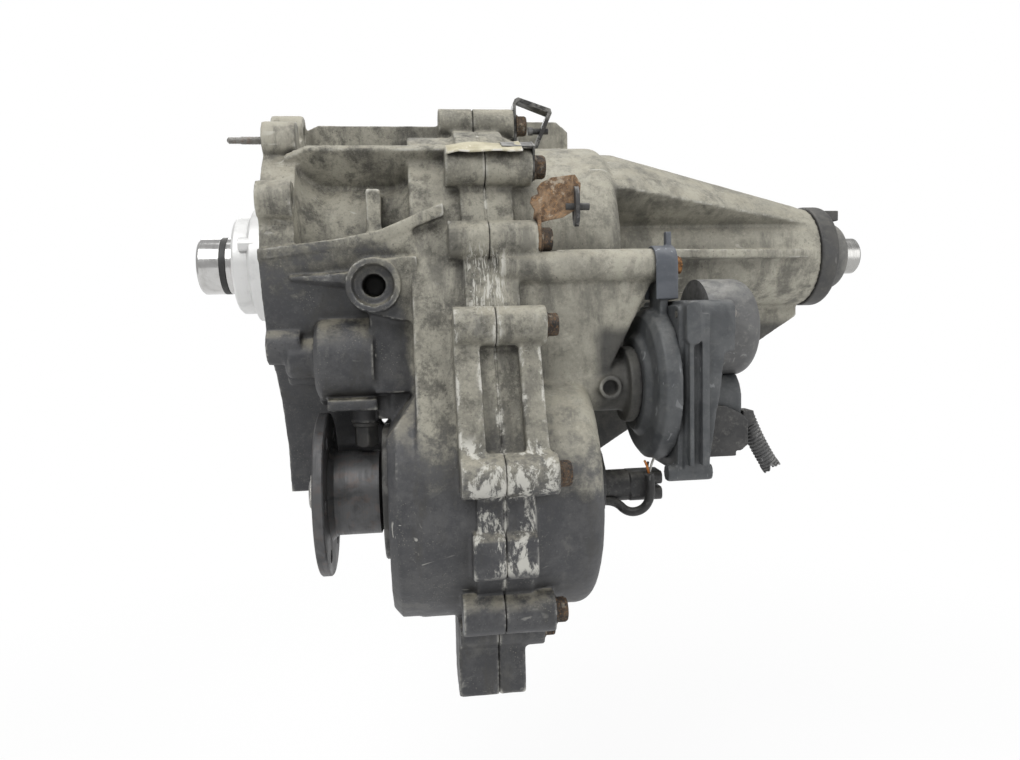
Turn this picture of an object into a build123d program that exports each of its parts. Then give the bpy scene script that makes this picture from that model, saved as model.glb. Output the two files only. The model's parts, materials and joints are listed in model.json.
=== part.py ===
from build123d import *
from math import acos, atan2, cos, degrees, pi, radians, sin, sqrt, tan
import os

# Two-speed, chain-driven transfer case, built as separate pieces.
# Millimetres. The origin is on the main shaft line at the adapter's mounting face.
# +X runs rearward along the shafts, +Y to the vehicle's right, +Z up.

# Shaft lines
CHAIN_PITCH = 9.525
CENTRE_PITCHES = 20
CENTRES = CHAIN_PITCH * CENTRE_PITCHES
FRONT_OUT_Y = -77.4
FRONT_OUT_Z = -sqrt(CENTRES**2 - FRONT_OUT_Y**2)
SHIFT_Y = -62.0
SHIFT_Z = -79.0
SECTOR_Y = -100.0
SECTOR_Z = -98.0

# Castings, along the shafts
FLANGE_T = 24.0
WALL_X = 14.0
WALL_T = 10.0
CASE_FRONT_X = 104.0
PARTING_X = 158.2
SEAT_X = 192.2
DRUM_END_X = 262.0
TAIL_END_X = 445.5
LOW_FRONT_X = 84.0
LOW_REAR_X = 228.0
CASE_WALL = 6.5

# Castings, across the shafts
FLANGE_R = 99.0
FLANGE_BOLT_R = 103.0
FLANGE_BOLTS = 6
FLANGE_BOSS_R = 13.5
FLANGE_HOLE_R = 5.5
BELL_R = 86.0
WAIST_R = 77.0
PLANET_BORE_R = 70.0
UPPER_R = 100.0
LOWER_R = 93.0
RIM_LIP = 5.0
BOLT_STANDOFF = 12.0
BOSS_R = 13.5
DRUM_R = 92.0
LOW_DRUM_R = 90.0
TAIL_R = 43.0
TAIL_END_R = 41.4
BUSH_X = TAIL_END_X - 41.5
COVER_X = TAIL_END_X + 17.2
TAIL_SEAL_END_X = TAIL_END_X + 34.5

# Case bolts
BOLT_R = 5.0
BOLT_HEAD_AF = 15.0
BOLT_HEAD_T = 7.0
BOLT_CLEARANCE = 0.3
BOLT_THREAD_X = 136.0
BOLT_WASHER_R = 9.5

# Planetary set
GEAR_MODULE = 2.0
SUN_TEETH = 30
PLANET_TEETH = 15
RING_TEETH = SUN_TEETH + 2 * PLANET_TEETH
PLANET_COUNT = 3
PRESSURE_ANGLE = radians(20)
ADDENDUM = 0.85
BACKLASH = 0.35
GEAR_X = 38.0
GEAR_W = 24.0
PLANET_PIN_R = 5.0
RUNNING = 0.05
ORBIT_R = GEAR_MODULE * (SUN_TEETH + PLANET_TEETH) / 2

# Chain drive
SPROCKET_TEETH = 36
CHAIN_X = 117.0
CHAIN_W = 30.0
CHAIN_CLEARANCE = 0.4
SPROCKET_R = SPROCKET_TEETH * CHAIN_PITCH / (2 * pi)

# Shafts
STUB_R = 22.6
STUB_END_X = -63.0
RING_GROOVE_X = -43.1
MAIN_R = 17.0
JOURNAL_R = 22.0
TAIL_SHAFT_R = 19.0
STUB_SHAFT_R = 15.5
TAIL_JOURNAL_R = 16.5
MAIN_END_X = TAIL_END_X + 51.5
FRONT_SHAFT_R = 15.0

# Companion flange
COMPANION_X = 32.4
COMPANION_T = 7.7
COMPANION_R = 60.0
COMPANION_HUB_R = 31.0
COMPANION_PCD = 94.0
COMPANION_HOLES = 6
COMPANION_HOLE_R = 5.2

# Shift drive
RAIL_R = 7.0
RANGE_TRAVEL = 20.0
SECTOR_R = 8.0
CAM_R = 18.0
CAM_TURN = 120.0

# Actuator
ACTUATOR_X = 264.0
ACTUATOR_R = 56.0
MOTOR_Z = -58.0
MOTOR_R = 36.0

MAIN_AXIS = Axis((0, 0, 0), (1, 0, 0))
FRONT_AXIS = Axis((0, FRONT_OUT_Y, FRONT_OUT_Z), (1, 0, 0))
MAIN = Plane(origin=(0, 0, 0), x_dir=(1, 0, 0), z_dir=(0, 0, 1))
FRONT = Plane(origin=(0, FRONT_OUT_Y, FRONT_OUT_Z), x_dir=(1, 0, 0), z_dir=(0, 0, 1))
LEAN = atan2(FRONT_OUT_Z, FRONT_OUT_Y)
FLANK = LEAN - pi / 2


def across(x, y=0.0, z=0.0):
    """The plane square to the shafts at x, with its origin on the line (y, z)."""
    return Plane(origin=(x, y, z), x_dir=(0, 1, 0), z_dir=(1, 0, 0))


def outline(*points):
    """A flat face inside straight edges."""
    with BuildSketch(Plane.XY) as face:
        with BuildLine():
            Polyline(*points, close=True)
        make_face()
    return face.sketch


def polar(radius, angle, centre=(0.0, 0.0)):
    """The point at an angle in radians round a centre."""
    return (centre[0] + radius * cos(angle), centre[1] + radius * sin(angle))


def lobes(upper_r, lower_r):
    """The chain case outline: an arc round each shaft, joined by two tangents."""
    low = (FRONT_OUT_Y, FRONT_OUT_Z)
    lean = acos((upper_r - lower_r) / CENTRES)
    near, far = LEAN - lean, LEAN + lean
    with BuildSketch(Plane.XY) as face:
        with BuildLine():
            Line(polar(upper_r, near), polar(lower_r, near, low))
            ThreePointArc(polar(lower_r, near, low), polar(lower_r, LEAN, low), polar(lower_r, far, low))
            Line(polar(lower_r, far, low), polar(upper_r, far))
            ThreePointArc(polar(upper_r, far), polar(upper_r, LEAN + pi), polar(upper_r, near))
        make_face()
    return face.sketch


def case_bolt_places():
    """Where the case bolts stand: round each lobe and on both flanks."""
    upper_r = UPPER_R + BOLT_STANDOFF
    lower_r = LOWER_R + BOLT_STANDOFF
    low = (FRONT_OUT_Y, FRONT_OUT_Z)
    places = [polar(upper_r, radians(a)) for a in (90, 147, 176, 316, 345, 42)]
    places += [polar(lower_r, radians(a), low) for a in (164.5, 222, 255, 300, 328)]
    for side in (FLANK, FLANK + pi):
        top = polar(upper_r, side)
        bottom = polar(lower_r, side, low)
        places.append((top[0] * 0.45 + bottom[0] * 0.55, top[1] * 0.45 + bottom[1] * 0.55))
    return places


def gear_face(teeth, tip_r, root_r, slack):
    """A spur gear face whose straight flanks follow the involute; slack thins each tooth."""
    pitch_r = GEAR_MODULE * teeth / 2
    base_r = pitch_r * cos(PRESSURE_ANGLE)

    def half_angle(radius):
        roll = acos(min(1.0, base_r / radius))
        spread = tan(PRESSURE_ANGLE) - PRESSURE_ANGLE - (tan(roll) - roll)
        return pi / (2 * teeth) - slack / (2 * pitch_r) + spread

    points = []
    for tooth in range(teeth):
        middle = 2 * pi * tooth / teeth
        for radius, side in ((root_r, -1), (tip_r, -1), (tip_r, 1), (root_r, 1)):
            points.append(polar(radius, middle + side * half_angle(max(radius, base_r))))
    return outline(*points)


def external_gear(teeth):
    """An outside-toothed gear face."""
    pitch_r = GEAR_MODULE * teeth / 2
    return gear_face(teeth, pitch_r + ADDENDUM * GEAR_MODULE, pitch_r - 1.2 * GEAR_MODULE, BACKLASH)


def internal_gear_gap(teeth):
    """The gap inside an inside-toothed gear."""
    pitch_r = GEAR_MODULE * teeth / 2
    return gear_face(teeth, pitch_r + 1.2 * GEAR_MODULE, pitch_r - ADDENDUM * GEAR_MODULE, -BACKLASH)


def spline_face(count, tip_r, root_r):
    """A round face with straight-sided spline teeth."""
    half = pi / (2 * count)
    points = []
    for tooth in range(count):
        middle = 2 * pi * tooth / count
        for radius, side in ((root_r, -1.15), (tip_r, -0.8), (tip_r, 0.8), (root_r, 1.15)):
            points.append(polar(radius, middle + side * half))
    return outline(*points)


def sprocket_face():
    """A toothed chain wheel, one tooth on the line towards the slack side of the case."""
    half = pi / SPROCKET_TEETH
    points = []
    for tooth in range(SPROCKET_TEETH):
        middle = FLANK + 2 * half * tooth
        for radius, share in ((-4.6, -0.62), (1.6, -0.2), (1.6, 0.2), (-4.6, 0.62)):
            points.append(polar(SPROCKET_R + radius, middle + share * half))
    return outline(*points)


def chain_point(pitches, inward):
    """A point on the chain's loop, so many pitches along it and so far inside its pitch line."""
    low = (FRONT_OUT_Y, FRONT_OUT_Z)
    radius = SPROCKET_R - inward
    wrap = SPROCKET_TEETH / 2
    loop = 2 * (wrap + CENTRE_PITCHES)
    along = pitches % loop
    if along < CENTRE_PITCHES:
        start = polar(radius, FLANK)
        return (start[0] + along * CHAIN_PITCH * cos(LEAN), start[1] + along * CHAIN_PITCH * sin(LEAN))
    along -= CENTRE_PITCHES
    if along < wrap:
        return polar(radius, FLANK + pi * along / wrap, low)
    along -= wrap
    if along < CENTRE_PITCHES:
        start = polar(radius, FLANK + pi, low)
        return (start[0] - along * CHAIN_PITCH * cos(LEAN), start[1] - along * CHAIN_PITCH * sin(LEAN))
    along -= CENTRE_PITCHES
    return polar(radius, FLANK + pi + pi * along / wrap)


def bearing(x, width, inner_r, outer_r):
    """A rolling bearing on the main line: two races and the row between them."""
    race = (outer_r - inner_r) * 0.3
    with BuildPart() as rings:
        for low_r, high_r, inset in (
            (inner_r, inner_r + race, 0.0),
            (outer_r - race, outer_r, 0.0),
            (inner_r + race + RUNNING, outer_r - race - RUNNING, width * 0.15),
        ):
            with BuildSketch(across(x + inset)):
                Circle(high_r)
                Circle(low_r, mode=Mode.SUBTRACT)
            extrude(amount=width - 2 * inset)
    return rings.part


def finish(builder, name):
    """Name a piece and write it out."""
    builder.part.label = name
    export_step(builder.part, "parts/" + name + ".step")


os.makedirs("parts", exist_ok=True)
CASE_BOLTS = case_bolt_places()

# Front case and adapter, one casting
FLANGE_FIRST_HOLE = 98.0
STUD_ANGLE = radians(124)
STUD_PLACE = polar(FLANGE_BOLT_R + 2, STUD_ANGLE)
FIN_T = 6.0
FIN_R = 111.0
FIN_END_X = 146.0
LEDGE_LOW_Z = 4.0
LEDGE_HIGH_Z = 42.0
LEDGE_Y = -107.0
LEDGE_MIDDLE = ((56, 11), (83, 16.5))
POST_X = (74.0, 84.0)
POST_Z = (14.0, 46.0)
POST_Y = -98.0
SHIFT_HOUSING_R = 30.0
SHIFT_HOUSING_X = 34.0
SHIFT_NOSE_R = 14.5
SHIFT_NOSE_X = 11.0
PORT_X = 78.0
PORT_Z = -22.0
PORT_Y = -120.0
PORT_R = 19.0
PORT_BORE_R = 8.0
PORT_MOUTH_R = 14.3
PORT_DEPTH = 34.0
SIDE_WALL_X = 73.0
SIDE_WALL_Y = -104.0
SIDE_WALL_Z = -98.0
INPUT_BEARING_R = 40.0
INPUT_BEARING_W = 14.0
FRONT_BEARING_R = 36.0
FRONT_BEARING_X = 90.0
FRONT_BEARING_W = 18.0
FRONT_SEAL_R = 40.0
SKIRT_OUTER = (
    (-106, 60), (-106, 4), (-99, -22), (-84, -62), (-56, -86), (-37, -108), (-16, -148), (-11, -186),
)
SKIRT_INNER = (
    (-1, -186), (-7, -146), (-29, -102), (-49, -79), (-76, -56), (-91, -20), (-98, 4), (-98, 60),
)
FOOT_X = (129.0, 178.0)
FOOT_Y = (-112.0, -62.0)
FOOT_Z = -328.0
FOOT_TOP_Z = -262.0
PAD_X = (130.0, 188.0)
PAD_LENGTH = 102.0
PAD_HEIGHT = 9.0
PAD_MIDDLE = 145.0
RECESS_MIDDLE = PAD_MIDDLE + 5
RECESS_X = (147.0, 173.0)
RECESS_LENGTH = 84.0
LUG_X = (137.0, 179.0)
LUG_Z = (-214.0, -184.0)
LUG_Y = -181.0
EDGE = 4.0
PLUG_X = 67.0
PLUG_Y = -80.0
PLUG_Z = -121.0
PLUG_R = 6.0
PLUG_SEAT_R = 11.0


def flank_plane(x, along, height):
    """The plane on the near flank: at x, so far down from the main line, so far out."""
    foot = polar(height, FLANK)
    origin = (x, foot[0] + along * cos(LEAN), foot[1] + along * sin(LEAN))
    return Plane(origin=origin, x_dir=(1, 0, 0), z_dir=(0, cos(FLANK), sin(FLANK)))


def near_side_features(x_from, x_to):
    """The pad, worn lug and foot on the near side, between two planes across the shafts."""
    height = UPPER_R + PAD_HEIGHT
    with BuildPart() as feature:
        left, right = max(PAD_X[0], x_from), min(PAD_X[1], x_to)
        with BuildSketch(flank_plane((left + right) / 2, PAD_MIDDLE, height)):
            Rectangle(right - left, PAD_LENGTH)
        extrude(amount=-PAD_HEIGHT - 6)
        left, right = max(RECESS_X[0], x_from), min(RECESS_X[1], x_to)
        with BuildSketch(flank_plane((left + right) / 2, RECESS_MIDDLE, height)):
            Rectangle(right - left, RECESS_LENGTH)
        extrude(amount=-PAD_HEIGHT - 1, mode=Mode.SUBTRACT)
        left, right = max(LUG_X[0], x_from), min(LUG_X[1], x_to)
        with BuildSketch(across(left)):
            with BuildLine():
                Polyline(
                    (LUG_Y + 28, LUG_Z[1] + EDGE), (LUG_Y + EDGE, LUG_Z[1]), (LUG_Y, LUG_Z[1] - EDGE),
                    (LUG_Y, LUG_Z[0] + EDGE), (LUG_Y + EDGE, LUG_Z[0]), (LUG_Y + 28, LUG_Z[0] - EDGE), close=True,
                )
            make_face()
        extrude(amount=right - left)
        left, right = max(FOOT_X[0], x_from), min(FOOT_X[1], x_to)
        with BuildSketch(across(left)):
            with BuildLine():
                Polyline(
                    (FOOT_Y[0], FOOT_TOP_Z + 10), (FOOT_Y[0], FOOT_Z + 5), (FOOT_Y[0] + 14, FOOT_Z),
                    (FOOT_Y[1] - 16, FOOT_Z + 3), (FOOT_Y[1], FOOT_Z + 9), (FOOT_Y[1], FOOT_TOP_Z), close=True,
                )
            make_face()
        extrude(amount=right - left)
    return feature.part


with BuildPart() as skirt:
    with BuildSketch(across(0)):
        add(outline(*SKIRT_OUTER, *SKIRT_INNER))
    extrude(amount=CASE_FRONT_X + 2)
    with BuildSketch(Plane.XZ.offset(0)):
        add(outline((-5, LEDGE_LOW_Z), *LEDGE_MIDDLE, (FIN_END_X, LEDGE_HIGH_Z), (FIN_END_X, 90), (-5, 90)))
    extrude(amount=150, mode=Mode.SUBTRACT)

with BuildPart() as front_case:
    # Mounting flange with its scalloped bosses and the leg
    with BuildSketch(across(0)):
        Circle(FLANGE_R)
        with PolarLocations(FLANGE_BOLT_R, FLANGE_BOLTS, start_angle=FLANGE_FIRST_HOLE):
            Circle(FLANGE_BOSS_R)
        with Locations(STUD_PLACE):
            Circle(FLANGE_BOSS_R)
        add(outline((-56, -84), (-37, -108), (-16, -148), (-11, -186), (18, -190), (32, -150), (46, -80)))
    extrude(amount=FLANGE_T)
    add(skirt.part)
    # Waisted barrel between the flange and the chain case
    with BuildSketch(MAIN):
        with BuildLine():
            Polyline((CASE_FRONT_X + 8, UPPER_R), (CASE_FRONT_X + 8, 0), (8, 0), (8, FLANGE_R - 3))
            Line((8, FLANGE_R - 3), (FLANGE_T, FLANGE_R - 3))
            TangentArc((FLANGE_T, FLANGE_R - 3), (FLANGE_T + 22, WAIST_R), tangent=(0.25, -1))
            Line((FLANGE_T + 22, WAIST_R), (CASE_FRONT_X - 16, WAIST_R))
            Bezier((CASE_FRONT_X - 16, WAIST_R), (CASE_FRONT_X + 2, WAIST_R), (CASE_FRONT_X + 8, UPPER_R))
        make_face()
    revolve(axis=MAIN_AXIS)
    # Radial fins along the barrel
    for fin_angle in (90, 135, 45, 0, -45):
        direction = radians(fin_angle)
        with BuildSketch(Plane(origin=(0, 0, 0), x_dir=(1, 0, 0), z_dir=(0, -sin(direction), cos(direction)))):
            add(outline((FLANGE_T - 8, WAIST_R - 3), (FLANGE_T - 8, FIN_R - 8), (FLANGE_T + 8, FIN_R),
                        (FIN_END_X, FIN_R), (FIN_END_X, WAIST_R - 3)))
        extrude(amount=FIN_T / 2, both=True)
    # Sloping ledge along the near side
    with BuildSketch(Plane.XZ.offset(-LEDGE_Y)):
        add(outline((0, LEDGE_LOW_Z), *LEDGE_MIDDLE, (CASE_FRONT_X + 24, LEDGE_HIGH_Z - 7),
                    (CASE_FRONT_X + 24, LEDGE_HIGH_Z - 16), (LEDGE_MIDDLE[1][0], LEDGE_MIDDLE[1][1] - 8),
                    (0, LEDGE_LOW_Z - 7)))
    extrude(amount=-34)
    # Post on the ledge beside the barrel
    with BuildSketch(Plane.XZ.offset(-POST_Y)):
        with Locations(((POST_X[0] + POST_X[1]) / 2, (POST_Z[0] + POST_Z[1]) / 2)):
            Rectangle(POST_X[1] - POST_X[0], POST_Z[1] - POST_Z[0])
    extrude(amount=-36)
    # Chain case
    with BuildSketch(across(CASE_FRONT_X)):
        add(lobes(UPPER_R, LOWER_R))
    extrude(amount=PARTING_X - CASE_FRONT_X)
    # Bolting rim and bolt columns
    with BuildSketch(across(PARTING_X - 18)):
        add(lobes(UPPER_R + RIM_LIP, LOWER_R + RIM_LIP))
    extrude(amount=18)
    with BuildSketch(across(PARTING_X - 28)):
        with Locations(*CASE_BOLTS):
            Circle(BOSS_R)
    extrude(amount=28)
    # Lower drum, cut back by a slope above the front output
    with BuildSketch(FRONT):
        add(outline((LOW_FRONT_X, 0), (LOW_FRONT_X, LOWER_R - 8), (LOW_FRONT_X + 6, LOWER_R - 1),
                    (CASE_FRONT_X, LOWER_R - 1), (CASE_FRONT_X, 0)))
    revolve(axis=FRONT_AXIS)
    with BuildSketch(Plane.XZ.offset(0)):
        add(outline((LOW_FRONT_X - 8, FRONT_OUT_Z + 40), (LOW_FRONT_X - 8, FRONT_OUT_Z + 110),
                    (CASE_FRONT_X, FRONT_OUT_Z + 110), (CASE_FRONT_X, FRONT_OUT_Z + 76)))
    extrude(amount=190, mode=Mode.SUBTRACT)
    with BuildSketch(across(LOW_FRONT_X, FRONT_OUT_Y, FRONT_OUT_Z)):
        Circle(FRONT_BEARING_R + 14)
    extrude(amount=CASE_FRONT_X - LOW_FRONT_X)
    # Shift rail housing and its nose
    with BuildSketch(across(SHIFT_HOUSING_X, SHIFT_Y, SHIFT_Z)):
        Circle(SHIFT_HOUSING_R)
    extrude(amount=CASE_FRONT_X - SHIFT_HOUSING_X)
    with BuildSketch(across(SHIFT_NOSE_X, SHIFT_Y, SHIFT_Z)):
        Circle(SHIFT_NOSE_R)
    extrude(amount=SHIFT_HOUSING_X - SHIFT_NOSE_X)
    # Side housing with the sensor port
    with BuildSketch(Plane.XZ.offset(-PORT_Y - 6)):
        add(outline((59, PORT_Z - 4), (69, PORT_Z + 17), (CASE_FRONT_X + 4, PORT_Z + 20),
                    (CASE_FRONT_X + 4, PORT_Z - 26), (92, PORT_Z - 24), (68, PORT_Z - 17)))
    extrude(amount=-44)
    # Wall behind the shift housing
    with BuildSketch(Plane.XZ.offset(-SIDE_WALL_Y)):
        add(outline((SIDE_WALL_X, PORT_Z - 10), (CASE_FRONT_X + 4, PORT_Z - 10), (CASE_FRONT_X + 4, SIDE_WALL_Z),
                    (SIDE_WALL_X + 3, SIDE_WALL_Z)))
    extrude(amount=-34)
    with BuildSketch(Plane.XZ.offset(-PORT_Y)):
        with Locations((PORT_X, PORT_Z)):
            Circle(PORT_R)
    extrude(amount=-50)
    # Pad, lug and foot
    add(near_side_features(0, PARTING_X))
    # Boss under the shift housing for the drain plug
    with BuildSketch(Plane.XY.offset(PLUG_Z)):
        with Locations((PLUG_X, PLUG_Y)):
            Circle(PLUG_SEAT_R)
    extrude(amount=23)
    # Bell recess, bearing bore, planetary bore and chain chamber
    with BuildSketch(across(0)):
        Circle(BELL_R)
    extrude(amount=WALL_X, mode=Mode.SUBTRACT)
    with BuildSketch(across(WALL_X)):
        Circle(INPUT_BEARING_R)
    extrude(amount=WALL_T, mode=Mode.SUBTRACT)
    with BuildSketch(across(WALL_X + WALL_T)):
        Circle(PLANET_BORE_R)
    extrude(amount=PARTING_X - WALL_X - WALL_T, mode=Mode.SUBTRACT)
    with BuildSketch(across(CASE_FRONT_X + CASE_WALL)):
        add(lobes(UPPER_R - CASE_WALL, LOWER_R - CASE_WALL))
    extrude(amount=PARTING_X - CASE_FRONT_X - CASE_WALL, mode=Mode.SUBTRACT)
    # Front output bearing and seal bores
    with BuildSketch(across(FRONT_BEARING_X, FRONT_OUT_Y, FRONT_OUT_Z)):
        Circle(FRONT_BEARING_R)
    extrude(amount=CASE_FRONT_X + CASE_WALL - FRONT_BEARING_X, mode=Mode.SUBTRACT)
    with BuildSketch(across(LOW_FRONT_X, FRONT_OUT_Y, FRONT_OUT_Z)):
        Circle(FRONT_BEARING_R - 4)
    extrude(amount=FRONT_BEARING_X - LOW_FRONT_X, mode=Mode.SUBTRACT)
    # Shift rail bore, its chamber and the slot for the fork
    with BuildSketch(across(SHIFT_NOSE_X + 4, SHIFT_Y, SHIFT_Z)):
        Circle(RAIL_R + RUNNING)
    extrude(amount=SHIFT_HOUSING_X + 8 - SHIFT_NOSE_X, mode=Mode.SUBTRACT)
    with BuildSketch(across(SHIFT_HOUSING_X + 10, SHIFT_Y, SHIFT_Z)):
        Circle(SHIFT_HOUSING_R - 7)
    extrude(amount=CASE_FRONT_X + CASE_WALL - SHIFT_HOUSING_X - 10, mode=Mode.SUBTRACT)
    shift_angle = atan2(SHIFT_Z, SHIFT_Y)
    shift_reach = sqrt(SHIFT_Y**2 + SHIFT_Z**2)
    with BuildSketch(Plane(origin=(76, 0, 0), x_dir=(0, cos(shift_angle), sin(shift_angle)), z_dir=(1, 0, 0))):
        with Locations((shift_reach / 2, 0)):
            Rectangle(shift_reach, 20)
    extrude(amount=CASE_FRONT_X + CASE_WALL - 76, mode=Mode.SUBTRACT)
    # Side plug, bolt holes, port bore
    with BuildSketch(Plane.XY.offset(PLUG_Z)):
        with Locations((PLUG_X, PLUG_Y)):
            Circle(PLUG_R + 0.02)
    extrude(amount=15, mode=Mode.SUBTRACT)
    with BuildSketch(across(BOLT_THREAD_X - 2)):
        with Locations(*CASE_BOLTS):
            Circle(BOLT_R + BOLT_CLEARANCE)
    extrude(amount=PARTING_X - BOLT_THREAD_X + 2, mode=Mode.SUBTRACT)
    with BuildSketch(across(0)):
        with PolarLocations(FLANGE_BOLT_R, FLANGE_BOLTS, start_angle=FLANGE_FIRST_HOLE):
            Circle(FLANGE_HOLE_R)
    extrude(amount=FLANGE_T, mode=Mode.SUBTRACT)
    with BuildSketch(across(0)):
        with Locations(STUD_PLACE):
            Circle(3.0)
    extrude(amount=16, mode=Mode.SUBTRACT)
    with BuildSketch(Plane.XZ.offset(-PORT_Y)):
        with Locations((PORT_X, PORT_Z)):
            Circle(PORT_BORE_R)
    extrude(amount=-PORT_DEPTH, mode=Mode.SUBTRACT)
    with BuildSketch(Plane.XZ.offset(-PORT_Y)):
        with Locations((PORT_X, PORT_Z)):
            Circle(PORT_MOUTH_R)
    extrude(amount=-8, mode=Mode.SUBTRACT)
finish(front_case, "front_case")

# Rear case with the tail extension, one casting
RIM_T = 20.0
MID_WALL_X = 190.0
FAIRING_X = 202.0
REAR_HUB_R = 27.0
REAR_HUB_X = 243.0
REAR_BEARING_R = 31.0
REAR_BEARING_X = 196.0
REAR_BEARING_W = 16.0
MAIN_BEARING_R = 36.0
MAIN_BEARING_X = 246.0
MAIN_BEARING_W = 18.0
BUSH_W = 34.0
BUSH_R = 25.0
ARM_Y = -112.0
ARM_Z = -12.0
ARM_R = 12.5
ARM_END_X = 278.0
WEB_T = 9.0
CONE_START_R = 87.0
CONE_FIRST = 35.0
CONE_SPAN = 110.0
CONE_SKIN = 7.0
CONE_SOLID_END = 50.0
RIB_T = 7.0
LIFT_LUG_X = (203.0, 248.0)
LIFT_LUG_Y = (42.0, 66.0)
LIFT_LUG_Z = 126.0
VENT_X = 242.0
VENT_Y = -124.0
VENT_R = 8.5


def radial_plane(angle):
    """The plane through the main line whose second axis points out at an angle in degrees."""
    direction = radians(angle)
    return Plane(origin=(0, 0, 0), x_dir=(1, 0, 0), z_dir=(0, -sin(direction), cos(direction)))


# The hollow inside the rear case, from the parting plane back
with BuildPart() as rear_chamber:
    with BuildSketch(across(PARTING_X)):
        add(lobes(UPPER_R - CASE_WALL, LOWER_R - CASE_WALL))
    extrude(amount=8)
    with BuildSketch(across(PARTING_X)):
        add(lobes(DRUM_R - CASE_WALL - 2, LOW_DRUM_R - CASE_WALL - 2))
    extrude(amount=MID_WALL_X - PARTING_X - CASE_WALL)
    with BuildSketch(MAIN):
        add(outline((PARTING_X, 0), (PARTING_X, DRUM_R - CASE_WALL), (DRUM_END_X - 16, DRUM_R - CASE_WALL),
                    (DRUM_END_X - 8, DRUM_R - CASE_WALL - 8), (DRUM_END_X - 8, 0)))
    revolve(axis=MAIN_AXIS)
    with BuildSketch(FRONT):
        add(outline((PARTING_X, 0), (PARTING_X, LOW_DRUM_R - CASE_WALL), (LOW_REAR_X - 16, LOW_DRUM_R - CASE_WALL),
                    (LOW_REAR_X - 8, LOW_DRUM_R - CASE_WALL - 8), (LOW_REAR_X - 8, 0)))
    revolve(axis=FRONT_AXIS)

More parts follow.
